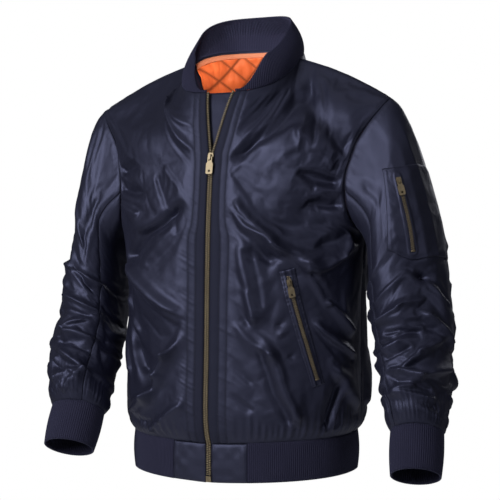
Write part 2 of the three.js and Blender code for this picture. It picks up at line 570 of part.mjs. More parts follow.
const hemRing = hemGrid();
const hemColumns = hemRing[0].length - 1;
const cloth = [
  { name: "front_left", grid: frontLeft, facing: 1, wall: shellWall, look: satin },
  { name: "front_right", grid: frontRight, facing: -1, wall: shellWall, look: satin },
  { name: "back", grid: back, facing: -1, wall: shellWall, look: satin },
  {
    name: "collar", grid: collarGrid(), facing: 1, wall: ribWall, look: knit,
    seamShift: point(0, 0, collarGap),
  },
  {
    name: "hem_tab_left", grid: slice(hemRing, 0, hem.tabColumns), facing: -1, wall: shellWall, look: satin,
  },
  {
    name: "hem_rib", grid: slice(hemRing, hem.tabColumns, hemColumns - hem.tabColumns), facing: -1,
    wall: ribWall, look: knit,
  },
  {
    name: "hem_tab_right", grid: slice(hemRing, hemColumns - hem.tabColumns, hemColumns), facing: -1,
    wall: shellWall, look: satin,
  },
];
for (const { name, side, grid, ...sleeve } of sleeves) {
  const { from, to } = underSleeve;
  const seamShift = sleeveFrame(sleeve.rings, 0, side).along.multiplyScalar(armholeGap);
  cloth.push(
    {
      name: `sleeve_${name}_top`, grid: slice(grid, to, from + sleeveColumns), facing: side, wall: shellWall,
      look: satin, seamShift,
    },
    {
      name: `sleeve_${name}_under`, grid: slice(grid, from, to), facing: side, wall: shellWall,
      look: satin, seamShift,
    },
    {
      name: `cuff_${name}`, grid: cuffGrid({ grid, end: sleeve.end }), facing: side, wall: ribWall,
      look: knit, wraps: true,
    },
  );
}

const isEdge = (i, j, rows, columns, wraps) =>
  i === 0 || i === rows - 1 || (!wraps && (j === 0 || j === columns - 1));
const keyOf = (spot) => [spot.x, spot.y, spot.z].map((size) => Math.round(size * 20)).join();

// Where two pieces are sewn together their walls share one direction, unless the cloth folds back on itself
function shareSeamDirections(pieces) {
  const meeting = new Map();
  const eachEdge = ({ grid, normals, wraps }, visit) => grid.forEach((row, i) => row.forEach((spot, j) => {
    if (isEdge(i, j, grid.length, row.length, wraps)) visit(keyOf(spot), normals[i][j], i, j);
  }));
  for (const piece of pieces) {
    piece.normals = gridNormals(piece.grid, piece.wraps, piece.facing);
    eachEdge(piece, (key, normal) => meeting.set(key, [...(meeting.get(key) ?? []), normal]));
  }
  for (const piece of pieces) {
    const shared = piece.normals.map((row) => [...row]);
    eachEdge(piece, (key, normal, i, j) => {
      const joined = meeting.get(key).filter((other) => other.dot(normal) > -0.3);
      shared[i][j] = joined.reduce((sum, other) => sum.add(other), point(0, 0, 0)).normalize();
    });
    piece.shared = shared;
  }
  for (const piece of pieces) piece.normals = piece.shared;
}

// Draws the edges of a grid in by half a seam gap
function trimEdges(grid, wraps, trim = seamGap / 2) {
  const rows = grid.length;
  const columns = grid[0].length;
  const towards = (spot, target) => target.clone().sub(spot).setLength(trim);
  return grid.map((row, i) =>
    row.map((spot, j) => {
      const moved = spot.clone();
      if (i === 0) moved.add(towards(spot, grid[1][j]));
      if (i === rows - 1) moved.add(towards(spot, grid[rows - 2][j]));
      if (!wraps && j === 0) moved.add(towards(spot, row[1]));
      if (!wraps && j === columns - 1) moved.add(towards(spot, row[columns - 2]));
      return moved;
    }),
  );
}

// A closed wall between an outer and an inner grid of the same size
function wallGeometry(outer, inner, wraps, facing) {
  const rows = outer.length;
  const columns = outer[0].length;
  const positions = [...outer.flat(), ...inner.flat()].flatMap((spot) => [spot.x, spot.y, spot.z]);
  const outerAt = (i, j) => i * columns + (j % columns);
  const innerAt = (i, j) => rows * columns + outerAt(i, j);
  const faces = [];
  const quad = (a, b, c, d) => faces.push(...(facing > 0 ? [a, b, c, a, c, d] : [a, c, b, a, d, c]));
  const spans = wraps ? columns : columns - 1;
  for (let i = 0; i < rows - 1; i += 1) {
    for (let j = 0; j < spans; j += 1) {
      quad(outerAt(i, j), outerAt(i, j + 1), outerAt(i + 1, j + 1), outerAt(i + 1, j));
      quad(innerAt(i, j), innerAt(i + 1, j), innerAt(i + 1, j + 1), innerAt(i, j + 1));
    }
  }
  for (let j = 0; j < spans; j += 1) {
    quad(outerAt(0, j), innerAt(0, j), innerAt(0, j + 1), outerAt(0, j + 1));
    quad(outerAt(rows - 1, j), outerAt(rows - 1, j + 1), innerAt(rows - 1, j + 1), innerAt(rows - 1, j));
  }
  for (let i = 0; i < rows - 1 && !wraps; i += 1) {
    quad(outerAt(i, 0), outerAt(i + 1, 0), innerAt(i + 1, 0), innerAt(i, 0));
    quad(outerAt(i, spans), innerAt(i, spans), innerAt(i + 1, spans), outerAt(i + 1, spans));
  }
  const geometry = new THREE.BufferGeometry();
  geometry.setAttribute("position", new THREE.Float32BufferAttribute(positions, 3));
  geometry.setIndex(faces);
  return geometry;
}

const jacket = new THREE.Group();
function add(name, geometry, look) {
  const mesh = new THREE.Mesh(geometry, new THREE.MeshStandardMaterial(look));
  mesh.name = name;
  jacket.add(mesh);
}

const sink = (grid, normals, depth) =>
  grid.map((row, i) => row.map((spot, j) => spot.clone().addScaledVector(normals[i][j], -depth)));

shareSeamDirections(cloth);
for (const piece of cloth) {
  const cut = trimEdges(piece.grid, piece.wraps);
  if (piece.seamShift) cut[0] = piece.grid[0].map((spot) => spot.clone().add(piece.seamShift));
  const inner = sink(cut, piece.normals, piece.wall);
  add(piece.name, wallGeometry(cut, inner, piece.wraps, piece.facing), piece.look);
}
const byName = Object.fromEntries(cloth.map((piece) => [piece.name, piece]));

// A point over a piece's outer face at a fractional column and row, on the same two triangles as its wall
function over(piece, column, row, lift) {
  const { grid, normals, facing } = piece;
  const j = clamp(Math.floor(column), 0, grid[0].length - 2);
  const i = clamp(Math.floor(row), 0, grid.length - 2);
  const across = column - j;
  const up = row - i;
  const [a, b, c, d] = [grid[i][j], grid[i][j + 1], grid[i + 1][j + 1], grid[i + 1][j]];
  const spot = a.clone();
  if (across > up) spot.addScaledVector(b.clone().sub(a), across).addScaledVector(c.clone().sub(b), up);
  else spot.addScaledVector(c.clone().sub(d), across).addScaledVector(d.clone().sub(a), up);
  const low = normals[i][j].clone().lerp(normals[i][j + 1], across);
  const high = normals[i + 1][j].clone().lerp(normals[i + 1][j + 1], across);
  const normal = low.lerp(high, up).normalize();
  return { spot: spot.addScaledVector(normal, lift), normal, facing };
}

// One row for each level of the zip: the edges of the cloth on both sides of it, from the hem up
function zipRows(side) {
  const front = byName[side > 0 ? "front_left" : "front_right"];
  const tab = byName[side > 0 ? "hem_tab_left" : "hem_tab_right"];
  const [edge, next] = side > 0 ? [0, 1] : [hem.tabColumns, hem.tabColumns - 1];
  const read = (piece, i, first, second) => ({
    edge: piece.grid[i][first], next: piece.grid[i][second],
    edgeNormal: piece.normals[i][first], nextNormal: piece.normals[i][second],
  });
  const lower = series(hem.rows, (k) => read(tab, hem.rows - k, edge, next));
  return [...lower, ...rowPlaces.map((_, i) => read(front, i, 0, 1))];
}

// A point beside the edge of the cloth: across is positive under the cloth and negative towards the zip
function beside({ edge, next, edgeNormal, nextNormal }, across, depth) {
  const step = next.clone().sub(edge);
  const share = Math.max(across, 0) / step.length();
  const normal = edgeNormal.clone().lerp(nextNormal, share).normalize();
  return edge.clone().addScaledVector(step.normalize(), across).addScaledVector(normal, -depth);
}

const zipEdges = { left: zipRows(1), right: zipRows(-1) };
for (const [name, side] of [["left", 1], ["right", -1]]) {
  const rows = zipEdges[name];
  const tapeGrid = (depth) => rows.map((row) =>
    [chain.half * 0.03 - zipHalfOpening, -0.4, tape.under].map((across) => beside(row, across, depth)),
  );
  const [outer, inner] = [tape.sink, tape.sink + tape.thickness]
    .map((depth) => trimEdges(tapeGrid(depth), false));
  add(`zip_tape_${name}`, wallGeometry(outer, inner, false, side), weave);
  const lowest = { ...rows[0], edge: rows[0].edge.clone().add(point(0, 0, zipBox.height + 1)) };
  const chainRows = [lowest, ...rows.slice(1)];
  const chainGrid = (depth) => chainRows.map((row) =>
    [-chain.edgeGap - chain.half, -chain.edgeGap].map((across) => beside(row, across, depth)),
  );
  const [face, rear] = [chain.sink, chain.sink + chain.thickness].map((depth) => chainGrid(depth));
  add(`zip_chain_${name}`, wallGeometry(face, rear, false, side), brass);
}

// The wind flap hangs behind the zip from the wearer's right front and reaches across the opening
function windFlapGrid(depth) {
  return zipEdges.right.map((right, i) => {
    const left = zipEdges.left[i];
    const gap = right.edge.distanceTo(left.edge);
    return series(windFlap.columns + 1, (k) => {
      const reach = lerp(-windFlap.under, windFlap.reach, k / windFlap.columns);
      const under = depth + windFlap.slack * Math.min(k, 1);
      if (reach <= 0) return beside(right, -reach, under);
      if (reach >= gap) return beside(left, reach - gap, under);
      return beside(right, 0, under).lerp(beside(left, 0, under), reach / gap);
    });
  });
}
const [flapFace, flapRear] = [windFlap.sink, windFlap.sink + windFlap.thickness]
  .map((depth) => trimEdges(windFlapGrid(depth), false));
add("wind_flap", wallGeometry(flapFace, flapRear, false, 1), satin);

// The lining behind the neck is quilted in diamonds that stand up on the side that shows
const backTop = rowPlaces.length - 1;
const liningSteps = lining.rows * lining.fine - 1;
const liningRows = series(liningSteps + 1, (i) =>
  lerp(backTop - lining.rows, backTop - binding.rows, i / liningSteps));
const bindingRows = [backTop - binding.rows, backTop - 0.04];
function behindNeck(rows, depthAt) {
  const count = 2 * lining.columns * lining.fine + 1;
  const columns = series(count, (j) => columnsPerHalf - lining.columns + j / lining.fine);
  const grid = rows.map((row) => columns.map((column) => {
    const { spot, normal } = over(byName.back, column, row, 0);
    return spot.addScaledVector(normal, -depthAt(spot));
  }));
  return trimEdges(grid, false);
}
function quiltDepth(spot) {
  const turn = (size) => (Math.PI * Math.SQRT2 * size) / lining.diamond;
  const puff = Math.abs(Math.cos(turn(spot.x + spot.z)) * Math.cos(turn(spot.x - spot.z))) ** 0.7;
  return lining.sink + lining.thickness + lining.puff * puff;
}
const quilting = behindNeck(liningRows, quiltDepth);
add("lining_back", wallGeometry(quilting, behindNeck(liningRows, () => lining.sink), false, 1), quilt);

// A pale strip binds the top edge of the lining
const [bindingFace, bindingRear] = [binding.sink + binding.thickness, binding.sink]
  .map((depth) => behindNeck(bindingRows, () => depth));
add("neck_binding", wallGeometry(bindingFace, bindingRear, false, 1), paleQuilt);

// Bars and boxes of metal
const solidKit = await loadManifold();
solidKit.setup();
function toSolid(geometry) {
  const bare = geometry.index ? geometry.toNonIndexed() : geometry;
  const spots = bare.attributes.position;
  const ids = new Map();
  const properties = [];
  const corners = series(spots.count, (i) => {
    const sizes = [spots.getX(i), spots.getY(i), spots.getZ(i)];
    const key = sizes.map((size) => Math.round(size * 1e4)).join();
    if (!ids.has(key)) {
      ids.set(key, ids.size);
      properties.push(...sizes);
    }
    return ids.get(key);
  });
  return new solidKit.Manifold(new solidKit.Mesh({
    numProp: 3, vertProperties: new Float32Array(properties), triVerts: new Uint32Array(corners),
  }));
}

function fromSolid(solid) {
  const mesh = solid.getMesh();
  const geometry = new THREE.BufferGeometry();
  geometry.setAttribute("position", new THREE.Float32BufferAttribute(Array.from(mesh.vertProperties), 3));
  geometry.setIndex(Array.from(mesh.triVerts));
  return geometry;
}

// An outline given as across and up, made into a plate between two depths; the outer face is towards -Y
function plate(outline, holes, nearDepth, farDepth) {
  const shape = new THREE.Shape(outline.map(([x, z]) => new THREE.Vector2(x, z)));
  shape.holes = holes.map((hole) => new THREE.Path(hole.map(([x, z]) => new THREE.Vector2(x, z))));
  const geometry = new THREE.ExtrudeGeometry(shape, { depth: farDepth - nearDepth, bevelEnabled: false });
  return geometry.rotateX(Math.PI / 2).translate(0, farDepth, 0);
}

const rectangle = (left, right, low, high) => [[left, low], [right, low], [right, high], [left, high]];

function sliderGeometry() {
  const half = slider.length / 2;
  const plateFace = slider.standOff - 0.3 - slider.plate;
  const base = plate(
    [
      [-slider.bottomWidth / 2, -half], [slider.bottomWidth / 2, -half],
      [slider.topWidth / 2, half * 0.4], [slider.topWidth / 2 - 1, half],
      [1 - slider.topWidth / 2, half], [-slider.topWidth / 2, half * 0.4],
    ],
    [], plateFace, plateFace + slider.plate,
  );
  const reach = slider.archLength / 2;
  const outerEdge = plateFace - slider.archHeight;
  const spots = (outline) => outline.map(([y, z]) => new THREE.Vector2(y, z));
  const inside = reach - slider.legLength;
  const arch = new THREE.Shape(spots(rectangle(outerEdge, plateFace + 0.4, -reach, reach)));
  arch.holes = [new THREE.Path(spots(rectangle(outerEdge + slider.archStrip, plateFace, -inside, inside)))];
  const archBody = new THREE.ExtrudeGeometry(arch, { depth: slider.archWidth, bevelEnabled: false })
    .translate(0, 0, -slider.archWidth / 2)
    .applyMatrix4(new THREE.Matrix4().makeBasis(point(0, 1, 0), point(0, 0, 1), point(1, 0, 0)));
  return fromSolid(solidKit.Manifold.union(toSolid(base), toSolid(archBody)));
}

function pullGeometry() {
  const [neck, body, bar] = [pull.neckWidth / 2, pull.width / 2, pull.bar / 2];
  const windowEnd = -bar - pull.window;
  const outline = [
    [-neck, bar], [-neck, windowEnd - 1.5], [-body, windowEnd - 4], [-body, 1.5 - pull.length],
    [1.5 - body, -pull.length], [body - 1.5, -pull.length], [body, 1.5 - pull.length],
    [body, windowEnd - 4], [neck, windowEnd - 1.5], [neck, bar],
  ];
  const windowHole = rectangle(-pull.windowWidth / 2, pull.windowWidth / 2, windowEnd, -bar);
  const slot = rectangle(-1.6, 1.6, 3.2 - pull.length, 6.4 - pull.length);
  return plate(outline, [windowHole, slot], -pull.thickness / 2, pull.thickness / 2);
}

// Places a slider and its pull over a point of a zip, with its length along the zip
function addSlider(name, spot, upwards, outwards, scale) {
  const inwards = outwards.clone().negate();
  const right = point().crossVectors(inwards, upwards).normalize();
  const up = point().crossVectors(right, inwards).normalize();
  const origin = spot.clone().addScaledVector(outwards, slider.standOff * scale);
  const place = new THREE.Matrix4().makeBasis(right, inwards, up);
  place.scale(point(scale, scale, scale)).setPosition(origin);
  add(`${name}_slider`, sliderGeometry().applyMatrix4(place), brass);
  add(`${name}_pull`, pullGeometry().applyMatrix4(place), brass);
}

function zipMiddle(height) {
  const above = zipEdges.left.findIndex((row) => row.edge.z > height);
  const at = (row) => beside(row, -zipHalfOpening, chain.sink);
  const middle = (i) => at(zipEdges.left[i]).lerp(at(zipEdges.right[i]), 0.5);
  const [low, high] = [middle(above - 1), middle(above)];
  const run = high.clone().sub(low).normalize();
  return { spot: low.lerp(high, (height - low.z) / (high.z - low.z)), run };
}
const zipTop = zipMiddle(sliderHeight - sliderDrop);
addSlider("zip", zipTop.spot, zipTop.run, point().crossVectors(point(1, 0, 0), zipTop.run), 1);

// The lower ends of the two tapes meet in a small box
const zipEnd = zipMiddle(zipEdges.left[0].edge.z + zipBox.height / 2 + 0.5);
const box = new THREE.BoxGeometry(2 * zipBox.halfWidth, zipBox.thickness, zipBox.height);
box.translate(zipEnd.spot.x, zipEnd.spot.y + zipBox.thickness / 2 - 0.4, zipEnd.spot.z);
add("zip_box", box, brass);

// A flat pocket strip on a piece of cloth, its length between two places and its width across them
function stripOn(host, strip) {
  const { top, bottom, width, along, across } = strip;
  const centre = { column: (top.column + bottom.column) / 2, row: (top.row + bottom.row) / 2 };
  const near = (columns, rows) => over(host, centre.column + columns, centre.row + rows, 0).spot;
  const [columnPitch, rowPitch] = [near(1, 0), near(0, 1)].map((spot) => spot.distanceTo(near(0, 0)));
  const rise = top.row - bottom.row;
  const run = new THREE.Vector2((top.column - bottom.column) * columnPitch, rise * rowPitch);
  const aside = new THREE.Vector2(run.y, -run.x).normalize();
  return (lift) => series(along + 1, (i) => series(across + 1, (j) => {
    const t = i / along;
    const w = width * (j / across - 0.5);
    const column = lerp(bottom.column, top.column, t) + (aside.x * w) / columnPitch;
    const row = lerp(bottom.row, top.row, t) + (aside.y * w) / rowPitch;
    return over(host, column, row, lift).spot;
  }));
}

// A patch whose upper and lower edges are drawn on the cloth by a table
function patchOn(host, { edges, along, across }) {
  return (lift) => series(along + 1, (i) => series(across + 1, (j) => {
    const read = (column) => readColumn(edges, "across", column, j / across);
    const column = lerp(read("bottomColumn"), read("topColumn"), i / along);
    const row = lerp(read("bottomRow"), read("topRow"), i / along);
    return over(host, column, row, lift).spot;
  }));
}

function addLayer(name, host, layer, look) {
  const at = layer.edges ? patchOn(host, layer) : stripOn(host, layer);
  const grid = at(layer.lift + layer.thickness);
  add(name, wallGeometry(grid, at(layer.lift), false, host.facing), look);
  return { grid, normals: gridNormals(grid, false, host.facing), facing: host.facing };
}

// A zip pocket: a layer of cloth, a closed zip on it and a slider at its upper end
function addPocket(name, layer, host, layerName) {
  const patch = addLayer(layerName, host, layer, satin);
  const placeOf = (end) => ({ column: layer.across * end.across, row: layer.along * end.along });
  const zip = addLayer(`${name}_chain`, patch, {
    top: placeOf(layer.zip.top), bottom: placeOf(layer.zip.bottom), width: pocketChain.width,
    thickness: pocketChain.thickness, lift: pocketChain.gap, along: 12, across: 1,
  }, brass);
  const end = over(zip, 0.5, 11.3, 0);
  const run = end.spot.clone().sub(over(zip, 0.5, 10.3, 0).spot).normalize();
  addSlider(name, end.spot, run, end.normal, pocketSliderScale);
}
addPocket("pocket_left", frontPocket, byName.front_left, "pocket_left_welt");
addPocket("sleeve_pocket", sleevePocket, byName.sleeve_left_top, "sleeve_pocket_patch");

export default jacket;
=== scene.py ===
import math

import bmesh
import bpy
import numpy as np
from mathutils import Matrix, Vector


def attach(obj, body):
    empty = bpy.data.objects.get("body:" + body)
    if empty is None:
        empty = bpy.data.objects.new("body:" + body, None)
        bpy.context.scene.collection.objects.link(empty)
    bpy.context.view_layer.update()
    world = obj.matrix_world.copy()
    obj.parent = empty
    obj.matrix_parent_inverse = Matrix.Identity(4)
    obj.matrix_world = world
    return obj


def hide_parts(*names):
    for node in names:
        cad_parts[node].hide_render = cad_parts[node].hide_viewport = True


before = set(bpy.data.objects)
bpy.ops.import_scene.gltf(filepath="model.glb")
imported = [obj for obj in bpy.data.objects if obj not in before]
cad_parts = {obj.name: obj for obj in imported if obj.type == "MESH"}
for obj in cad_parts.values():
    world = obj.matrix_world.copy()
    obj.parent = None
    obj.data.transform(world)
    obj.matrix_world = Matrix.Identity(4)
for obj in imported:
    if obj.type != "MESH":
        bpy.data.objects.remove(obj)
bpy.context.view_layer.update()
print("jacket: frame loaded")

mm = 0.001


# Small tools for sizes and curves

def smooth(x, low, high):
    t = np.clip((x - low) / (high - low), 0, 1)
    return t * t * (3 - 2 * t)


def mix(a, b, t):
    return a + (b - a) * t


def unit(v):
    return v / np.maximum(np.linalg.norm(v, axis=-1, keepdims=True), 1e-9)


def hermite(a, slopeA, b, slopeB, t):
    t2, t3 = t * t, t * t * t
    return (2 * t3 - 3 * t2 + 1) * a + (t3 - 2 * t2 + t) * slopeA + (3 * t2 - 2 * t3) * b + (t3 - t2) * slopeB


def readTable(table, key, column, at):
    places, values = np.array(table[key], float), np.array(table[column], float)
    slopes = np.empty_like(values)
    slopes[1:-1] = (values[2:] - values[:-2]) / (places[2:] - places[:-2])
    slopes[0] = (values[1] - values[0]) / (places[1] - places[0])
    slopes[-1] = (values[-1] - values[-2]) / (places[-1] - places[-2])
    i = np.clip(np.searchsorted(places, at, side="left") - 1, 0, len(places) - 2)
    width = places[i + 1] - places[i]
    t = np.clip((at - places[i]) / width, 0, 1)
    return hermite(values[i], slopes[i] * width, values[i + 1], slopes[i + 1] * width, t)


def unevenness(x, y, cell, seed):  # soft random height from -1 to 1 over cells of cloth
    rng = np.random.default_rng(seed)
    lattice = rng.uniform(-1, 1, (64, 64))
    fx, fy = x / cell, y / cell
    ix, iy = np.floor(fx).astype(int), np.floor(fy).astype(int)
    tx, ty = fx - ix, fy - iy
    tx, ty = tx * tx * (3 - 2 * tx), ty * ty * (3 - 2 * ty)
    at = lambda dx, dy: lattice[(iy + dy) % 64, (ix + dx) % 64]
    return mix(mix(at(0, 0), at(1, 0), tx), mix(at(0, 1), at(1, 1), tx), ty)

def crinkle(x, y, cell, seed):  # sharp uneven creases between soft facets, from 0 to -1
    bendX = unevenness(x + 700, y, cell * 0.8, seed + 2) * cell * 0.3
    bendY = unevenness(x, y + 500, cell * 0.8, seed + 3) * cell * 0.3
    first = np.abs(unevenness(x + bendX, y + bendY, cell, seed))
    second = np.abs(unevenness(x - y * 0.4 + bendY, y + x * 0.5, cell * 0.7, seed + 4))
    return -0.6 * (1 - np.clip(first * 2.2, 0, 1)) ** 1.5 - 0.4 * (1 - np.clip(second * 2.2, 0, 1)) ** 1.5


def finer(grid, rows, columns):  # a coarse grid read smoothly at more rows and columns
    for axis, count in ((0, rows), (1, columns)):
        last = grid.shape[axis] - 1
        at = np.linspace(0, last, count)
        i = np.clip(np.floor(at).astype(int), 0, last - 1)
        t = (at - i).reshape([-1 if k == axis else 1 for k in range(grid.ndim)])
        a, b, c, d = (np.take(grid, np.clip(i + k, 0, last), axis) for k in (-1, 0, 1, 2))
        grid = b + t / 2 * (c - a + t * (2 * a - 5 * b + 4 * c - d + t * (3 * (b - c) + d - a)))
    return grid


def between(grid, i, j):  # a grid read at places between its rows and columns
    i, j = np.broadcast_arrays(np.asarray(i, float), np.asarray(j, float))
    i, j = np.clip(i, 0, grid.shape[0] - 1.0001), np.clip(j, 0, grid.shape[1] - 1.0001)
    low, left = np.floor(i).astype(int), np.floor(j).astype(int)
    up, across = (i - low)[..., None], (j - left)[..., None]
    under = mix(grid[low, left], grid[low, left + 1], across)
    return mix(under, mix(grid[low + 1, left], grid[low + 1, left + 1], across), up)


def nearLine(x, y, fromX, fromY, toX, toY):  # distance from a straight line between two places
    runX, runY = toX - fromX, toY - fromY
    t = np.clip(((x - fromX) * runX + (y - fromY) * runY) / (runX ** 2 + runY ** 2), 0, 1)
    return np.hypot(x - fromX - runX * t, y - fromY - runY * t)


# The jacket's form in millimetres, the same as its solids have

bodyForm = {
    "v": [0, 0.04, 0.11, 0.27, 0.43, 0.6, 0.63, 0.68, 0.76, 0.84],
    "zFront": [-592, -572, -536, -455, -370, -278, -262, -236, -194, -146],
    "zBack": [-592, -572, -536, -452, -365, -270, -251, -220, -166, -106],
    "zSide": [-592, -572, -536, -452, -366, -275, -258, -229, -187, -146],
    "half": [186, 197, 200, 199, 200, 207, 212, 215, 219, 223],
    "front": [126, 133, 136, 133, 131, 128, 127, 125, 121, 115],
    "back": [119, 128, 131, 127, 124, 127, 128, 129, 129, 124],
    "frontSweep": [90, 90, 90, 90, 90, 90, 73, 64.5, 62, 66],
    "backSweep": [90, 90, 90, 90, 90, 90, 80, 70, 65, 65],
    "squareness": 0.9, "yoke": 0.84, "armpit": 0.6, "neckShare": 7 / 16,
    "girth": 275, "length": 600,
}
neckForm = {
    "halfWidth": 97, "frontDepth": 98, "frontDrop": 56, "backDepth": 78, "backRise": 26,
    "shoulder": (250, -12, -67), "shoulderLift": 6,
}
openingForm = {"sliderHeight": -150, "halfOpening": 4.6, "left": 27, "right": 13}
hemRaise = {"side": 12, "fadesBy": 0.5}


def sectionAt(face, u, v):
    read = lambda column: readTable(bodyForm, "v", column, v)
    isFront = face == "front"
    sweep = np.radians(read("frontSweep" if isFront else "backSweep")) * u
    depth = -read("front") if isFront else read("back")
    middle = read("zFront" if isFront else "zBack")
    power = bodyForm["squareness"]
    x = read("half") * np.sin(sweep) ** power
    y = depth * np.maximum(np.cos(sweep), 0) ** power
    z = mix(middle, read("zSide"), smooth(u, 0, 1))
    return np.stack([x, y, z], -1)


def topEdgeAt(face, u):
    share = bodyForm["neckShare"]
    n = neckForm
    turn = np.pi / 2 * np.clip(u / share, 0, 1)
    away = 1 - np.cos(turn)
    depth, rise, power = (
        (-n["frontDepth"], -n["frontDrop"], 1.3) if face == "front" else (n["backDepth"], n["backRise"], 1.8))
    neck = np.stack([n["halfWidth"] * np.sin(turn), depth * (1 - away), rise * (1 - away ** power)], -1)
    w = np.clip((u - share) / (1 - share), 0, 1)
    sx, sy, sz = n["shoulder"]
    seam = np.stack([mix(n["halfWidth"], sx, w), sy * w, sz * w + n["shoulderLift"] * np.sin(np.pi * w)], -1)
    return np.where((u <= share)[..., None], neck, seam)


def bodyAt(face, u, v):
    u, v = np.broadcast_arrays(np.asarray(u, float), np.asarray(v, float))
    yoke = bodyForm["yoke"]
    low = sectionAt(face, u, np.minimum(v, yoke))
    start = sectionAt(face, u, np.full_like(u, yoke))
    below = sectionAt(face, u, np.full_like(u, yoke - 0.02))
    end = topEdgeAt(face, u)
    reach = np.linalg.norm(end - start, axis=-1, keepdims=True)
    towards = 1 if face == "front" else -1
    part = smooth(u, bodyForm["neckShare"] * 0.5, 1)
    endRun = np.stack([np.zeros_like(u), towards * mix(0.4, 0.95, part), mix(0.92, 0.42, part)], -1)
    t = np.clip((v - yoke) / (1 - yoke), 0, 1)[..., None]
    high = hermite(start, unit(start - below) * reach, end, unit(endRun) * reach, t)
    return np.where((v <= yoke)[..., None], low, high)


def raiseHem(p, v):
    share = np.clip(p[..., 0] / bodyForm["half"][0], 0, 1)
    p[..., 2] += hemRaise["side"] * share * (1 - smooth(v, 0, hemRaise["fadesBy"]))
    return p


def frontAt(side, u, v):
    p = bodyAt("front", u, v)
    o = openingForm
    rise = np.clip((p[..., 2] - o["sliderHeight"]) / (-neckForm["frontDrop"] - o["sliderHeight"]), 0, 1)
    nearZip = np.maximum(1 - u / bodyForm["neckShare"], 0) ** 1.5
    p[..., 0] += (o["halfOpening"] + o["left" if side > 0 else "right"] * rise) * nearZip
    p[..., 0] *= side
    return raiseHem(p, v)


def backAt(u, v):
    p = bodyAt("back", np.abs(u), v)
    p[..., 0] *= np.sign(u)
    return raiseHem(p, v)


def sleeveRings(rows):
    names = ("s", "outX", "outZ", "inX", "inZ", "y", "pitch", "depth")
    return dict(zip(names, zip(*rows)))


sleeveForm = {
    "length": 520, "girth": 420, "frontSeam": 0.35, "backSeam": 0.65,
    "left": sleeveRings([
        (0, 250, -67, 209, -275, 0, 0, 64), (0.06, 266, -82, 217, -291, -3, 0, 70),
        (0.13, 282, -118, 221, -311, -5, 1, 73), (0.22, 301, -180, 222, -340, -6, 3, 73),
        (0.34, 323, -250, 223, -374, -10, 7, 71), (0.46, 338, -318, 228, -408, -18, 12, 68),
        (0.6, 351, -390, 239, -446, -34, 19, 65), (0.74, 356, -450, 254, -482, -56, 25, 61),
        (0.87, 359, -504, 267, -518, -78, 29, 56), (0.95, 363, -536, 274, -541, -92, 30, 51),
        (1, 360, -549, 284, -561, -100, 30, 37)]),
    "right": sleeveRings([
        (0, 250, -67, 209, -275, 0, 0, 64), (0.06, 266, -84, 216, -291, -3, 0, 70),
        (0.13, 277, -116, 219, -311, -5, 1, 73), (0.22, 287, -172, 219, -340, -6, 4, 73),
        (0.34, 297, -240, 218, -374, -10, 9, 71), (0.46, 311, -305, 215, -408, -18, 15, 68),
        (0.6, 319, -376, 209, -447, -36, 24, 65), (0.74, 318, -440, 201, -484, -66, 31, 61),
        (0.87, 306, -498, 195, -521, -100, 35, 56), (0.95, 293, -536, 188, -541, -118, 35, 51),
        (1, 279, -560, 191, -552, -126, 32, 38)]),
}


def sleeveFrame(name, s):
    side = 1 if name == "left" else -1
    read = lambda column: readTable(sleeveForm[name], "s", column, s)
    outer = np.stack([side * read("outX"), read("y"), read("outZ")], -1)
    inner = np.stack([side * read("inX"), read("y"), read("inZ")], -1)
    pitch = np.radians(read("pitch"))
    out = unit(outer - inner)
    fore = np.stack([np.zeros_like(pitch), -np.cos(pitch), np.sin(pitch)], -1)
    fore = unit(fore - out * np.sum(fore * out, -1, keepdims=True))
    along = np.cross(out, fore) * side
    half = np.linalg.norm(outer - inner, axis=-1) / 2
    return (outer + inner) / 2, out, fore, along, half, read("depth")


def armholeAt(side, turn):
    turn = np.mod(turn, 1)
    v = np.where(turn < 0.5, 1 - 0.8 * turn, 0.6 + 0.8 * (turn - 0.5))
    ones = np.ones_like(turn)
    front = frontAt(side, ones, v)
    back = backAt(ones * side, v)
    return np.where((turn < 0.5)[..., None], front, back)


def sleeveAt(name, turn, s):
    side = 1 if name == "left" else -1
    turn, s = np.broadcast_arrays(np.asarray(turn, float), np.asarray(s, float))
    centre0, out0, fore0, along0, _, _ = sleeveFrame(name, np.zeros(1))
    arm = armholeAt(side, turn) - centre0[0]
    centre, out, fore, along, half, depth = sleeveFrame(name, s)
    roundness = smooth(s, 0, 0.3)
    angle = 2 * np.pi * turn
    across = mix(arm @ out0[0], half * np.cos(angle), roundness)
    forwards = mix(arm @ fore0[0], depth * np.sin(angle), roundness)
    down = (arm @ along0[0]) * (1 - smooth(s, 0, 0.12))
    return centre + out * across[..., None] + fore * forwards[..., None] + along * down[..., None]


def normalsOf(p, facing, wraps=False):
    if wraps:
        du = np.roll(p, -1, 1) - np.roll(p, 1, 1)
    else:
        du = np.gradient(p, axis=1)
    dv = np.gradient(p, axis=0)
    return unit(np.cross(du, dv)) * facing


# Folds: lines on the cloth, each with the places it runs between, its width and its height in millimetres

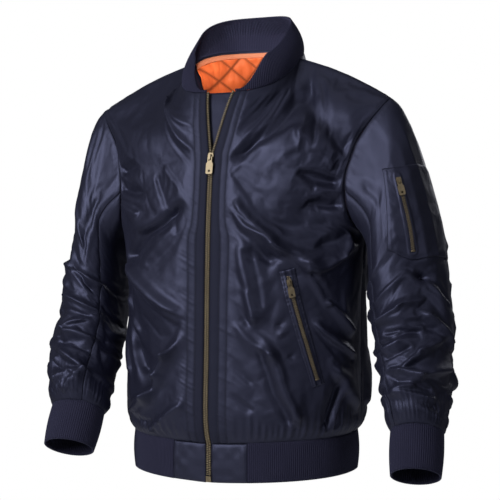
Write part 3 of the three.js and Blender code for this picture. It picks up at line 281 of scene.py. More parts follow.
def foldField(folds, u, v, width, length, wraps=False, warp=4, seed=1, skew=0.35, widen=1):
    x, y = u * width, v * length
    bend = unevenness(x, y, 46, seed) * warp, unevenness(x + 900, y, 46, seed + 1) * warp
    total = np.zeros_like(u)
    for number, (fromU, fromV, toU, toV, spread, height, *bow) in enumerate(folds):
        runX, runY = (toU - fromU) * width, (toV - fromV) * length
        shift = u - fromU
        if wraps:
            shift = shift - np.round(shift - (toU - fromU) / 2)
        hereX, hereY = shift * width + bend[0], (v - fromV) * length + bend[1]
        size = math.hypot(runX, runY)
        along = (hereX * runX + hereY * runY) / size
        side = (hereY * runX - hereX * runY) / size
        t = np.clip(along / size, 0, 1)
        if bow:
            side = side - bow[0] * 4 * t * (1 - t)
        past = along - t * size
        lean = skew if number % 2 else -skew
        local = widen * spread * (0.7 + 0.3 * np.sin(np.pi * t)) * (1 + lean * np.tanh(side / spread * 2))
        total += height * np.exp(-(side / local) ** 2 - (past / spread) ** 2)
    return total


def gathers(x, pitch, seed):  # uneven little pleats running away from a seam
    rng = np.random.default_rng(seed)
    edges = np.cumsum(rng.uniform(0.55, 1.45, 400)) * pitch
    size = rng.uniform(0.3, 1, 400)
    place = np.mod(x, edges[-2])
    at = np.searchsorted(edges, place)
    start = np.where(at > 0, edges[np.maximum(at - 1, 0)], 0)
    t = (place - start) / (edges[at] - start)
    return size[at] * np.sin(np.pi * t) ** 2


# Meshes

def clothGrid(name, p, u, v, facing, wraps=False):
    rows, columns = p.shape[:2]
    wide = columns + 1 if wraps else columns
    bm = bmesh.new()
    bm.loops.layers.uv.new("cloth")
    bmesh.ops.create_grid(bm, x_segments=wide - 1, y_segments=rows - 1, size=1, calc_uvs=True)
    mesh = bpy.data.meshes.new(name)
    bm.to_mesh(mesh)
    bm.free()
    i, j = np.divmod(np.arange(len(mesh.vertices)), wide)
    mesh.vertices.foreach_set("co", (p[i, j % columns] * mm).ravel())
    corner = np.empty(len(mesh.loops), int)
    mesh.loops.foreach_get("vertex_index", corner)
    place = np.stack([u[i, j % columns], v[i, j % columns]], -1)
    if wraps:
        place[j == columns, 0] = u[0, 0] + (u[0, -1] - u[0, 0]) * columns / (columns - 1)
    mesh.uv_layers["cloth"].data.foreach_set("uv", (place[corner] * mm).ravel())
    if wraps or facing < 0:
        bm = bmesh.new()
        bm.from_mesh(mesh)
        if wraps:
            bmesh.ops.remove_doubles(bm, verts=bm.verts, dist=1e-7)
        if facing < 0:
            bmesh.ops.reverse_faces(bm, faces=bm.faces)
        bm.to_mesh(mesh)
        bm.free()
    mesh.update()
    mesh.shade_smooth()
    piece = bpy.data.objects.new(name, mesh)
    bpy.context.scene.collection.objects.link(piece)
    return piece


# stores a 0 to 1 mask as the "seam" attribute: the cloth finish darkens the colour by it as painted shade in seams,
# grooves and hollows, and makes the cloth rougher there
def markSeamShade(piece, depth):
    seam = piece.data.attributes.new("seam", "FLOAT", "POINT")
    seam.data.foreach_set("value", np.clip(depth, 0, 1).astype(np.float32).ravel())
    return piece


def thicken(piece, thickness):
    wall = piece.modifiers.new("wall", "SOLIDIFY")
    wall.thickness = thickness * mm
    wall.offset = -1
    wall.use_rim = True
    return piece


def dress(piece, *materials):
    piece.data.materials.clear()
    for material in materials:
        piece.data.materials.append(material)
    return piece


def sewOn(piece, *nodes, slot=None):
    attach(piece, "jacket")
    if nodes:
        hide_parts(*nodes)
    return piece


def asSurface(p, facing, uEnds, vEnds):
    return {"p": p, "n": normalsOf(p, facing), "u": uEnds, "v": vEnds}


def spotOn(surface, u, v, lift=0):
    rows, columns = surface["p"].shape[:2]
    (lowU, highU), (lowV, highV) = surface["u"], surface["v"]
    i = (np.asarray(v, float) - lowV) / (highV - lowV) * (rows - 1)
    j = (np.asarray(u, float) - lowU) / (highU - lowU) * (columns - 1)
    normal = unit(between(surface["n"], i, j))
    return between(surface["p"], i, j) + normal * np.asarray(lift, float)[..., None], normal


def settle(p, extra, pins, hold, pull, frames=14):  # lets cut cloth with some extra size hang between its seams
    piece = clothGrid("cutCloth", p, np.zeros(p.shape[:2]), np.zeros(p.shape[:2]), 1)
    piece.shape_key_add(name="wornAndShaded")
    cut = piece.shape_key_add(name="cut")
    cut.data.foreach_set("co", (p * mm * (1 + np.array(extra))).ravel())
    sewn = piece.vertex_groups.new(name="sewn")
    levels = np.round(np.maximum(pins, hold), 2).ravel()
    for level in np.unique(levels):
        sewn.add(np.nonzero(levels == level)[0].tolist(), float(level), "REPLACE")
    hang = piece.modifiers.new("hang", "CLOTH")
    hang.collision_settings.use_collision = False
    hang.point_cache.frame_start, hang.point_cache.frame_end = 1, frames
    cloth = hang.settings
    cloth.rest_shape_key = cut
    cloth.vertex_group_mass = "sewn"
    cloth.pin_stiffness = 0.5
    cloth.quality = 4
    cloth.mass = 0.2
    cloth.air_damping = 5
    cloth.tension_stiffness = cloth.compression_stiffness = 40
    cloth.shear_stiffness = 15
    cloth.bending_stiffness = 0.12
    cloth.effector_weights.gravity = pull
    scene = bpy.context.scene
    scene.frame_start, scene.frame_end = 1, frames
    for number in range(1, frames + 1):
        scene.frame_set(number)
    moved = np.empty(p.size)
    piece.evaluated_get(bpy.context.evaluated_depsgraph_get()).data.vertices.foreach_get("co", moved)
    scene.frame_set(1)
    mesh = piece.data
    bpy.data.objects.remove(piece)
    bpy.data.meshes.remove(mesh)
    shift = moved.reshape(p.shape) / mm - p
    size = np.linalg.norm(shift, axis=-1, keepdims=True)
    most = 12
    print(f"jacket: cloth settled, {len(levels)} points, mean {size.mean():.2f} mm, most {size.max():.1f} mm")
    return shift * np.tanh(size / most) * most / np.maximum(size, 1e-6)


def tileParts(name, base, places):  # many copies of one small mesh as one piece
    bm = bmesh.new()
    for place in places:
        copy = base.copy()
        copy.transform(place)
        bm.from_mesh(copy)
        bpy.data.meshes.remove(copy)
    mesh = bpy.data.meshes.new(name)
    bm.to_mesh(mesh)
    bm.free()
    mesh.shade_smooth()
    piece = bpy.data.objects.new(name, mesh)
    bpy.context.scene.collection.objects.link(piece)
    return piece


def placing(spot, across, along, out):
    rows = np.stack([across, along, out], 1)
    matrix = Matrix([list(rows[k]) + [spot[k] * mm] for k in range(3)] + [[0, 0, 0, 1]])
    return matrix


def alongPath(spots, normals, pitch, ends=0.5):  # places, runs and normals at even steps along a line of points
    steps = np.linalg.norm(np.diff(spots, axis=0), axis=1)
    run = np.concatenate([[0], np.cumsum(steps)])
    count = max(int((run[-1] - 2 * ends * pitch) / pitch), 1) + 1
    at = np.linspace(ends * pitch, run[-1] - ends * pitch, count)
    read = lambda values: np.stack([np.interp(at, run, values[:, k]) for k in range(3)], -1)
    tangents = np.gradient(spots, axis=0)
    return read(spots), unit(read(tangents)), unit(read(normals))


stitchForm = {"pitch": 3.4, "length": 2.5, "width": 0.5, "height": 0.34}


def stitchMesh():
    bm = bmesh.new()
    bmesh.ops.create_icosphere(bm, subdivisions=1, radius=0.5)
    size = Vector((stitchForm["width"], stitchForm["length"], stitchForm["height"])) * mm
    bmesh.ops.scale(bm, verts=bm.verts, vec=size)
    mesh = bpy.data.meshes.new("stitch")
    bm.to_mesh(mesh)
    bm.free()
    return mesh


stitch = stitchMesh()


def stitchesOn(spots, normals):
    where, runs, outs = alongPath(spots, normals, stitchForm["pitch"])
    asides = unit(np.cross(runs, outs))
    return [placing(*four) for four in zip(where, asides, runs, np.cross(asides, runs))]


# Finishes

def socketsOf(group, kind, names):
    for name, form in names:
        group.interface.new_socket(name=name, in_out=kind, socket_type=form)


def nodeIn(tree, kind, **settings):
    node = tree.nodes.new(kind)
    for key, value in settings.items():
        setattr(node, key, value)
    return node


def grainGroup():  # woven ground: fine over-and-under bump, small creases, cloudy tone, slightly changing gloss, and painted shade that darkens the colour and dulls the gloss where the seam mask is high
    group = bpy.data.node_groups.new("clothGrainAndSeamShade", "ShaderNodeTree")
    socketsOf(group, "INPUT", [
        ("Vector", "NodeSocketVector"), ("Dark", "NodeSocketColor"), ("Light", "NodeSocketColor"),
        ("Threads", "NodeSocketFloat"), ("Depth", "NodeSocketFloat"), ("Gloss", "NodeSocketFloat"),
        ("Creases", "NodeSocketFloat"), ("Seam", "NodeSocketFloat")])
    socketsOf(group, "OUTPUT", [
        ("Color", "NodeSocketColor"), ("Roughness", "NodeSocketFloat"), ("Normal", "NodeSocketVector")])
    into, out = nodeIn(group, "NodeGroupInput"), nodeIn(group, "NodeGroupOutput")
    link = group.links.new
    clouds = nodeIn(group, "ShaderNodeTexNoise")
    clouds.inputs["Scale"].default_value = 22
    clouds.inputs["Detail"].default_value = 4
    link(into.outputs["Vector"], clouds.inputs["Vector"])
    tone = nodeIn(group, "ShaderNodeMix", data_type="RGBA")
    link(clouds.outputs["Fac"], tone.inputs["Factor"])
    link(into.outputs["Dark"], tone.inputs[6])
    link(into.outputs["Light"], tone.inputs[7])
    # painted shade: the colour is multiplied by 1 - 0.72 times the seam mask, so it is darker in seams and hollows
    shade = nodeIn(group, "ShaderNodeMath", operation="MULTIPLY_ADD")
    shade.inputs[1].default_value = -0.72
    shade.inputs[2].default_value = 1
    link(into.outputs["Seam"], shade.inputs[0])
    wornAndShaded = nodeIn(group, "ShaderNodeVectorMath", operation="SCALE")
    link(tone.outputs[2], wornAndShaded.inputs[0])
    link(shade.outputs[0], wornAndShaded.inputs["Scale"])
    link(wornAndShaded.outputs[0], out.inputs["Color"])
    gloss = nodeIn(group, "ShaderNodeMapRange")
    gloss.inputs["To Min"].default_value = -0.05
    gloss.inputs["To Max"].default_value = 0.05
    link(clouds.outputs["Fac"], gloss.inputs["Value"])
    addGloss = nodeIn(group, "ShaderNodeMath", operation="ADD")
    link(gloss.outputs["Result"], addGloss.inputs[0])
    link(into.outputs["Gloss"], addGloss.inputs[1])
    # the same seam mask also raises the roughness
    dull = nodeIn(group, "ShaderNodeMath", operation="MULTIPLY_ADD")
    dull.inputs[1].default_value = 0.4
    link(into.outputs["Seam"], dull.inputs[0])
    link(addGloss.outputs[0], dull.inputs[2])
    link(dull.outputs[0], out.inputs["Roughness"])
    scaled = nodeIn(group, "ShaderNodeVectorMath", operation="SCALE")
    link(into.outputs["Vector"], scaled.inputs[0])
    link(into.outputs["Threads"], scaled.inputs["Scale"])
    warp = nodeIn(group, "ShaderNodeTexWave", wave_type="BANDS", bands_direction="X")
    weft = nodeIn(group, "ShaderNodeTexWave", wave_type="BANDS", bands_direction="Y")
    for wave in (warp, weft):
        wave.inputs["Scale"].default_value = 1
        wave.inputs["Distortion"].default_value = 0.6
        link(scaled.outputs[0], wave.inputs["Vector"])
    both = nodeIn(group, "ShaderNodeMath", operation="MULTIPLY")
    link(warp.outputs["Fac"], both.inputs[0])
    link(weft.outputs["Fac"], both.inputs[1])
    fine = nodeIn(group, "ShaderNodeBump")
    fine.inputs["Distance"].default_value = 0.0002
    link(into.outputs["Depth"], fine.inputs["Strength"])
    link(both.outputs[0], fine.inputs["Height"])
    small = nodeIn(group, "ShaderNodeTexNoise", noise_type="RIDGED_MULTIFRACTAL")
    small.inputs["Scale"].default_value = 26
    small.inputs["Detail"].default_value = 2
    small.inputs["Distortion"].default_value = 0.8
    link(into.outputs["Vector"], small.inputs["Vector"])
    creased = nodeIn(group, "ShaderNodeBump")
    creased.inputs["Distance"].default_value = 0.0009
    link(into.outputs["Creases"], creased.inputs["Strength"])
    link(small.outputs["Fac"], creased.inputs["Height"])
    link(fine.outputs["Normal"], creased.inputs["Normal"])
    link(creased.outputs["Normal"], out.inputs["Normal"])
    return group


grain = grainGroup()


def clothFinish(name, form):
    material = bpy.data.materials.new(name)
    material.use_nodes = True
    tree = material.node_tree
    shader = tree.nodes["Principled BSDF"]
    cloth = nodeIn(tree, "ShaderNodeUVMap", uv_map="cloth")
    # reads the seam mask that darkens the colour as painted shade
    seam = nodeIn(tree, "ShaderNodeAttribute", attribute_name="seam")
    group = nodeIn(tree, "ShaderNodeGroup", node_tree=grain)
    group.inputs["Dark"].default_value = (*form["dark"], 1)
    group.inputs["Light"].default_value = (*form["light"], 1)
    group.inputs["Threads"].default_value = form["threads"]
    group.inputs["Depth"].default_value = form["depth"]
    group.inputs["Gloss"].default_value = form["gloss"]
    group.inputs["Creases"].default_value = form.get("creases", 0)
    tree.links.new(cloth.outputs["UV"], group.inputs["Vector"])
    tree.links.new(seam.outputs["Fac"], group.inputs["Seam"])
    tree.links.new(group.outputs["Color"], shader.inputs["Base Color"])
    tree.links.new(group.outputs["Roughness"], shader.inputs["Roughness"])
    tree.links.new(group.outputs["Normal"], shader.inputs["Normal"])
    shader.inputs["Sheen Weight"].default_value = form.get("sheen", 0)
    shader.inputs["Sheen Tint"].default_value = (*form.get("tint", (1, 1, 1)), 1)
    shader.inputs["Sheen Roughness"].default_value = 0.4
    shader.inputs["Specular IOR Level"].default_value = form.get("specular", 0.5)
    shader.inputs["Specular Tint"].default_value = (*form.get("tint", (1, 1, 1)), 1)
    return material


def metalFinish(name, dark, light, roughness):
    material = bpy.data.materials.new(name)
    material.use_nodes = True
    tree = material.node_tree
    shader = tree.nodes["Principled BSDF"]
    shader.inputs["Metallic"].default_value = 0.9
    where = nodeIn(tree, "ShaderNodeTexCoord")
    tarnish = nodeIn(tree, "ShaderNodeTexNoise")
    tarnish.inputs["Scale"].default_value = 180
    tarnish.inputs["Detail"].default_value = 5
    tone = nodeIn(tree, "ShaderNodeMix", data_type="RGBA")
    tone.inputs[6].default_value = (*dark, 1)
    tone.inputs[7].default_value = (*light, 1)
    rough = nodeIn(tree, "ShaderNodeMapRange")
    rough.inputs["To Min"].default_value = roughness - 0.08
    rough.inputs["To Max"].default_value = roughness + 0.12
    bump = nodeIn(tree, "ShaderNodeBump")
    bump.inputs["Strength"].default_value = 0.15
    bump.inputs["Distance"].default_value = 0.0002
    link = tree.links.new
    link(where.outputs["Object"], tarnish.inputs["Vector"])
    link(tarnish.outputs["Fac"], tone.inputs["Factor"])
    link(tarnish.outputs["Fac"], rough.inputs["Value"])
    link(tarnish.outputs["Fac"], bump.inputs["Height"])
    link(tone.outputs[2], shader.inputs["Base Color"])
    link(rough.outputs["Result"], shader.inputs["Roughness"])
    link(bump.outputs["Normal"], shader.inputs["Normal"])
    return material


satin = clothFinish("navySatin", {
    "dark": (0.0072, 0.0075, 0.0158), "light": (0.0102, 0.0107, 0.0215), "threads": 3600, "depth": 0.2, "gloss": 0.5,
    "creases": 0.25, "sheen": 0.05, "tint": (0.56, 0.6, 1), "specular": 0.78,
})
knit = clothFinish("navyKnit", {
    "dark": (0.022, 0.0215, 0.043), "light": (0.032, 0.031, 0.06), "threads": 1500, "depth": 0.8, "gloss": 0.85,
    "sheen": 0.2, "tint": (0.45, 0.5, 0.85), "specular": 0.25,
})
tape = clothFinish("navyTape", {
    "dark": (0.008, 0.009, 0.017), "light": (0.012, 0.013, 0.023), "threads": 2200, "depth": 0.8, "gloss": 0.75,
})
orange = clothFinish("orangeLining", {
    "dark": (0.82, 0.13, 0.03), "light": (0.96, 0.2, 0.055), "threads": 2600, "depth": 0.3, "gloss": 0.45,
    "creases": 1, "sheen": 0.1, "tint": (1, 0.7, 0.5),
})
paleOrange = clothFinish("paleOrangeBinding", {
    "dark": (0.74, 0.22, 0.1), "light": (0.84, 0.3, 0.15), "threads": 1600, "depth": 0.8, "gloss": 0.6,
})
thread = clothFinish("navyThread", {
    "dark": (0.02, 0.021, 0.038), "light": (0.032, 0.034, 0.056), "threads": 1800, "depth": 0.3, "gloss": 0.5,
})
brass = metalFinish("agedBrass", (0.16, 0.125, 0.078), (0.34, 0.28, 0.19), 0.5)
print("jacket: finishes made")

# Body panels. The folds in the first tables are those of the solids, and those in the second ones are finer

bodyPanel = {
    "columns": 104, "rows": 208, "wall": 1.6, "seamDip": 1.1, "seamWidth": 4.5, "pleatPitch": 10,
    "placket": (10.5, 21), "clothStep": 4.2,
}
frontLeftFolds = [
    (0.16, 0.83, 0.5, 0.93, 16, -5), (0.12, 0.89, 0.27, 0.96, 13, -3.5), (0.53, 0.96, 0.63, 0.9, 15, -4),
    (0.63, 0.9, 0.9, 0.84, 16, -5), (0.64, 0.77, 0.92, 0.75, 14, -4.5), (0.67, 0.68, 0.95, 0.69, 15, -5),
    (0.18, 0.68, 0.3, 0.59, 18, 6), (0.3, 0.59, 0.48, 0.53, 17, 7), (0.48, 0.53, 0.78, 0.58, 17, 7),
    (0.45, 0.63, 0.75, 0.64, 24, -6), (0.26, 0.55, 0.42, 0.49, 15, -4), (0.55, 0.5, 0.85, 0.33, 17, 5),
    (0.6, 0.34, 0.87, 0.25, 15, 4), (0.14, 0.57, 0.21, 0.38, 15, 4), (0.15, 0.35, 0.3, 0.28, 15, 4.5),
    (0.3, 0.28, 0.45, 0.09, 16, 5), (0.75, 0.16, 0.67, 0.05, 14, -5), (0.74, 0.2, 0.92, 0.11, 22, 6),
]
frontRightFolds = [
    (0.42, 0.94, 0.1, 0.9, 14, 4), (0.36, 0.93, 0.08, 0.84, 14, 4), (0.65, 0.8, 0.9, 0.79, 14, -4),
    (0.62, 0.72, 0.92, 0.73, 14, -4), (0.21, 0.67, 0.56, 0.53, 17, -6), (0.57, 0.51, 0.07, 0.37, 17, 6),
    (0.07, 0.35, 0.18, 0.26, 15, 6), (0.18, 0.26, 0.34, 0.13, 15, 7), (0.34, 0.13, 0.48, 0.08, 15, 5),
    (0.62, 0.42, 0.58, 0.29, 15, -5), (0.58, 0.29, 0.32, 0.17, 15, -5), (0.05, 0.19, 0.11, 0.11, 14, 4),
    (0.11, 0.11, 0.32, 0.03, 14, 4),
]
backFolds = [
    (-0.45, 0.93, -0.15, 0.82, 18, -4), (0.45, 0.93, 0.18, 0.8, 18, -4), (0.9, 0.72, 0.45, 0.62, 18, -5),
    (-0.9, 0.74, -0.5, 0.6, 18, -5), (-0.2, 0.6, 0.35, 0.52, 20, 5), (0.8, 0.5, 0.3, 0.36, 18, 5),
    (-0.85, 0.46, -0.3, 0.34, 18, 5), (-0.1, 0.34, -0.35, 0.14, 17, 5), (0.15, 0.3, 0.42, 0.1, 17, 5),
    (0.75, 0.24, 0.9, 0.1, 18, 5), (-0.7, 0.2, -0.92, 0.08, 18, 5),
]
frontLeftCreases = [
    (0.26, 0.955, 0.09, 0.85, 4.5, -1.6), (0.22, 0.965, 0.07, 0.875, 4.5, -1.5), (0.31, 0.95, 0.1, 0.82, 5, -1.8),
    (0.17, 0.97, 0.06, 0.9, 4, -1.3), (0.36, 0.95, 0.11, 0.79, 5.5, -1.8), (0.498, 0.935, 0.09, 0.81, 8, -3.6, -8),
    (0.09, 0.79, 0.5, 0.865, 9, 3.4, 12), (0.5, 0.865, 0.84, 0.79, 9, 3.4, 8), (0.53, 0.955, 0.62, 0.86, 6, -3),
    (0.6, 0.96, 0.72, 0.87, 5, -2), (0.59, 0.785, 0.93, 0.74, 6, -4.2), (0.665, 0.69, 0.97, 0.675, 6, -3.6),
    (0.75, 0.735, 0.97, 0.715, 5, 2.6), (0.286, 0.58, 0.396, 0.535, 6, 4), (0.396, 0.535, 0.5, 0.512, 6, 4.4),
    (0.5, 0.512, 0.72, 0.545, 7, 4.2, -5), (0.72, 0.545, 0.82, 0.6, 7, 3.6), (0.3, 0.555, 0.46, 0.5, 4, -3),
    (0.33, 0.53, 0.44, 0.49, 5, 3), (0.6, 0.575, 0.86, 0.59, 13, -7), (0.5, 0.5, 0.66, 0.412, 6, 3.6),
    (0.53, 0.495, 0.64, 0.425, 4, -2.4), (0.66, 0.412, 0.86, 0.333, 7, 3.4), (0.575, 0.35, 0.853, 0.26, 7, 3.8),
    (0.6, 0.325, 0.86, 0.235, 7, -3), (0.135, 0.565, 0.21, 0.377, 9, 3.2), (0.19, 0.56, 0.25, 0.42, 8, -2.6),
    (0.147, 0.36, 0.3, 0.295, 8, -3.6), (0.3, 0.285, 0.455, 0.075, 11, 4.6), (0.26, 0.275, 0.4, 0.07, 9, -4),
    (0.745, 0.155, 0.67, 0.05, 4.5, -4.4), (0.8, 0.13, 0.74, 0.04, 4.5, -2.6), (0.08, 0.7, 0.37, 0.56, 9, 3.2, -7),
    (0.08, 0.655, 0.31, 0.53, 8, -2.8, -5), (0.08, 0.6, 0.2, 0.545, 5, -1.8), (0.08, 0.51, 0.17, 0.46, 5, -1.6),
    (0.08, 0.43, 0.19, 0.37, 5, -1.8), (0.08, 0.25, 0.2, 0.19, 6, -2), (0.08, 0.16, 0.2, 0.11, 6, -2),
    (0.45, 0.4, 0.36, 0.36, 5, -2.2), (0.47, 0.365, 0.37, 0.33, 5, 2.2), (0.52, 0.3, 0.42, 0.26, 5, -2.2),
]
frontRightCreases = [
    (0.42, 0.945, 0.09, 0.905, 5, 3), (0.36, 0.935, 0.07, 0.842, 5, 3.2), (0.3, 0.9, 0.08, 0.8, 6, -2.4),
    (0.213, 0.68, 0.56, 0.54, 8, -4.4), (0.571, 0.512, 0.07, 0.374, 8, 4.4, 6), (0.5, 0.45, 0.1, 0.335, 7, -3),
    (0.063, 0.35, 0.18, 0.264, 6, 4), (0.18, 0.264, 0.26, 0.194, 6, 4.4), (0.26, 0.194, 0.343, 0.134, 6, 4.2),
    (0.343, 0.134, 0.475, 0.083, 7, 3.6), (0.584, 0.29, 0.43, 0.209, 7, -4), (0.43, 0.209, 0.317, 0.16, 6, -3.6),
    (0.05, 0.192, 0.108, 0.111, 5, 3), (0.108, 0.111, 0.325, 0.03, 5, 2.8), (0.65, 0.815, 0.92, 0.78, 6, -3.4),
    (0.62, 0.73, 0.93, 0.725, 6, -3.2), (0.6, 0.665, 0.9, 0.68, 6, 2.8), (0.3, 0.79, 0.1, 0.7, 8, 2.6),
    (0.4, 0.76, 0.16, 0.62, 8, -2.6), (0.7, 0.4, 0.5, 0.33, 8, 3), (0.85, 0.3, 0.62, 0.2, 8, 3),
]
backCreases = [
    (0.88, 0.73, 0.4, 0.63, 8, -4), (-0.88, 0.75, -0.45, 0.62, 8, -4), (0.82, 0.51, 0.28, 0.37, 8, 3.6),
    (-0.86, 0.47, -0.28, 0.35, 8, 3.6), (-0.22, 0.62, 0.36, 0.53, 9, 3.4), (-0.1, 0.35, -0.36, 0.13, 8, 3.4),
    (0.14, 0.31, 0.43, 0.09, 8, 3.4), (0.6, 0.9, 0.3, 0.8, 7, -2.8), (-0.6, 0.9, -0.34, 0.78, 7, -2.8),
    (0.9, 0.62, 0.6, 0.5, 8, 3), (-0.9, 0.6, -0.6, 0.52, 8, 3), (0.05, 0.78, -0.3, 0.7, 9, -2.6),
]
rowPlaces = np.concatenate([0.6 * (np.arange(13) / 13) ** 1.15, np.linspace(0.6, 1, 11)])
pocketLine = {"topU": 6.1 / 16, "topV": 0.5107, "bottomU": 9.45 / 16, "bottomV": 0.1683, "calm": 34, "width": 24}


def seamRoll(distance, dip, width):
    return -dip * np.exp(-(distance / width) ** 2)


def bodyCalm(u, v, zipEdge):
    calm = smooth(1 - np.abs(u), 0, 0.1) * smooth(1 - v, 0, 0.06)
    return calm * smooth(u, 0.05, 0.2) if zipEdge else calm


def solidBody(side, folds):  # the points of the front's solid: its folds on its own few rows and columns
    u, v = np.meshgrid(np.arange(17) / 16, rowPlaces)
    p = frontAt(side, u, v)
    plain = foldField(folds, u, v, bodyForm["girth"], bodyForm["length"], warp=0, skew=0)
    gather = 3.4 * np.where(np.arange(17) % 2 == 0, 1, -1) * smooth(v, 0.012, 0.05) * (1 - smooth(v, 0.05, 0.2))
    height = bodyCalm(u, v, True) * (smooth(v, 0, 0.03) * plain + gather)
    return p + normalsOf(p, side) * height[..., None]


def wornBody(p, u, v, facing, folds, creases, seed, zipEdge):
    form = bodyForm
    x, y = u * form["girth"] + 600, v * form["length"]
    calm = bodyCalm(u, v, zipEdge) * smooth(v, 0, 0.03)
    main = foldField(folds, u, v, form["girth"], form["length"], seed=seed)
    narrow = foldField(creases, u, v, form["girth"], form["length"], seed=seed + 40, warp=3, widen=1.3)
    loose = smooth(unevenness(x, y, 90, seed + 3), -0.6, 0.7)
    height = calm * (1.6 * main + 1.45 * narrow + 1.2 * loose * crinkle(x, y, 70, seed + 9))
    return p + normalsOf(p, facing) * height[..., None]


def bodyDetail(p, u, v, facing, seed, zipEdge):
    form, panel = bodyForm, bodyPanel
    x, y = u * form["girth"] + 600, v * form["length"]
    side = (1 - np.abs(u)) * form["girth"]
    top = (1 - v) * form["length"]
    pleats = gathers(x + 1800, panel["pleatPitch"], seed + 7)
    fade = 0.1 + 0.045 * unevenness(x, y * 0, 22, seed + 8)
    height = 3.8 * (pleats - 0.4) * smooth(v, 0.004, 0.03) * (1 - smooth(v, 0.03, fade))
    height *= smooth(side, 0, 14) * (smooth(u, 0.08, 0.16) if zipEdge else 1)
    height += 0.35 * unevenness(x, y, 12, seed + 6)
    for distance in (side, y, top):
        height += seamRoll(distance, panel["seamDip"], panel["seamWidth"])
    ticks = gathers(y * 0.9 + side * 0.25, 5.5, seed + 11) - 0.4
    height += 1.1 * ticks * seamRoll(side - 7, -1, 6) + 0.8 * (gathers(x, 6, seed + 12) - 0.4) * seamRoll(top - 8, -1, 6)
    if zipEdge:
        across = u * form["girth"]
        inner, outer = panel["placket"]
        tilt = gathers(y + across * 0.7 * facing, 6.5, seed + 13) - 0.4
        height += 1.5 * tilt * smooth(across, 7, 12) * (1 - smooth(across, 22, 40))
        height += seamRoll(across - inner, 0.7, 1.6) + seamRoll(across - outer, 0.9, 2.2)
        height += seamRoll(across, 0.8, 3)
    return p + normalsOf(p, facing) * height[..., None]


def nearPocket(u, v):
    line, form = pocketLine, bodyForm
    ends = line["topU"], line["topV"], line["bottomU"], line["bottomV"]
    sizes = [end * (form["girth"] if k % 2 == 0 else form["length"]) for k, end in enumerate(ends)]
    return nearLine(u * form["girth"], v * form["length"], *sizes)


def wornFront(side, columns, rows, folds, creases, seed):
    u, v = np.meshgrid(np.linspace(0, 1, columns + 1), np.linspace(0, 1, rows + 1))
    p = wornBody(frontAt(side, u, v), u, v, side, folds, creases, seed, True)
    if side > 0:  # the cloth under the pocket lies as it does on the solid
        solid = between(solidBody(side, folds), np.interp(v, rowPlaces, np.arange(24)), u * 16)
        p = mix(p, solid, (1 - smooth(nearPocket(u, v), 13, pocketLine["calm"]))[..., None])
    return u, v, p


def frontPanel(name, side, folds, creases, seed):
    form, panel = bodyForm, bodyPanel
    steps = [round(size / panel["clothStep"]) for size in (form["girth"], form["length"])]
    u, v, p = wornFront(side, *steps, folds, creases, seed)
    edge = np.minimum(np.minimum(u - 0.085, 1 - u) * form["girth"], np.minimum(v, 1 - v) * form["length"])
    pins = 1 - smooth(edge, 2, 9)
    if side > 0:
        pins = np.maximum(pins, 1 - smooth(nearPocket(u, v), 14, 22))
    shift = settle(p, (0.008, 0.008, 0.014), pins, 0.09, 0.1) * (1 - pins)[..., None]
    u, v, p = wornFront(side, panel["columns"], panel["rows"], folds, creases, seed)
    p = bodyDetail(p + finer(shift, *p.shape[:2]), u, v, side, seed, True)
    piece = clothGrid(name, p, u * form["girth"], v * form["length"], side)
    across = u * form["girth"]
    inner, outer = panel["placket"]
    # painted shade: the strip beside the zip, the stitch grooves of the placket, the placket as a whole and the edge
    # seams are darkened in the colour
    dark = 0.45 * (1 - smooth(across, inner - 1, inner + 1)) + 0.5 * seamRoll(across - outer, -1, 1.1)
    dark += 0.4 * seamRoll(across - inner, -1, 1) + 0.3 * (1 - smooth(across, outer - 2, outer + 8))
    edge = np.minimum(form["girth"] - across, np.minimum(v, 1 - v) * form["length"])
    markSeamShade(piece, np.maximum(dark, 0.7 * seamRoll(edge, -1, 2.6)))
    return dress(thicken(piece, panel["wall"]), satin), asSurface(p, side, (0, 1), (0, 1))


leftFront, leftFrontCloth = frontPanel("leftFront", 1, frontLeftFolds, frontLeftCreases, 11)
rightFront, rightFrontCloth = frontPanel("rightFront", -1, frontRightFolds, frontRightCreases, 31)
sewOn(leftFront, "front_left", slot="satin")
sewOn(rightFront, "front_right", slot="satin")

backPanel = {"columns": 190, "rows": 180, "clothStep": 5}
liningForm = {
    "lowV": 0.8, "highV": 0.988, "reach": 6.7 / 16, "sink": 2.8, "wall": 1.4, "puff": 3.2, "diamond": 58,
    "columns": 150, "rows": 72, "bindingTop": 0.997,
}


def backCloth():
    form = bodyForm
    cloth = []
    steps = [round(size / backPanel["clothStep"]) for size in (2 * form["girth"], form["length"])]
    for columns, rows in (steps, (backPanel["columns"], backPanel["rows"])):
        u, v = np.meshgrid(np.linspace(-1, 1, columns + 1), np.linspace(0, 1, rows + 1))
        behindNeck = smooth(v, 0.74, 0.8) * (1 - smooth(np.abs(u), 0.46, 0.56))
        plain = backAt(u, v)
        p = wornBody(plain, u, v, -1, backFolds, backCreases, 51, False)
        p = mix(p, plain, 0.7 * behindNeck[..., None])
        cloth.append((u, v, p, behindNeck))
    u, v, p, behindNeck = cloth[0]
    edge = np.minimum((1 - np.abs(u)) * form["girth"], np.minimum(v, 1 - v) * form["length"])
    pins = np.maximum(1 - smooth(edge, 2, 9), smooth(behindNeck, 0.2, 0.8))
    shift = settle(p, (0.015, 0.015, 0.025), pins, 0.07, 0.1) * (1 - pins)[..., None]
    u, v, p, _ = cloth[1]
    p = p + finer(shift, *p.shape[:2])
    return u, v, p, bodyDetail(p, u, v, -1, 51, False)


u, v, plainBack, p = backCloth()
back = clothGrid("backPanel", p, u * bodyForm["girth"], v * bodyForm["length"], -1)
edge = np.minimum((1 - np.abs(u)) * bodyForm["girth"], np.minimum(v, 1 - v) * bodyForm["length"])
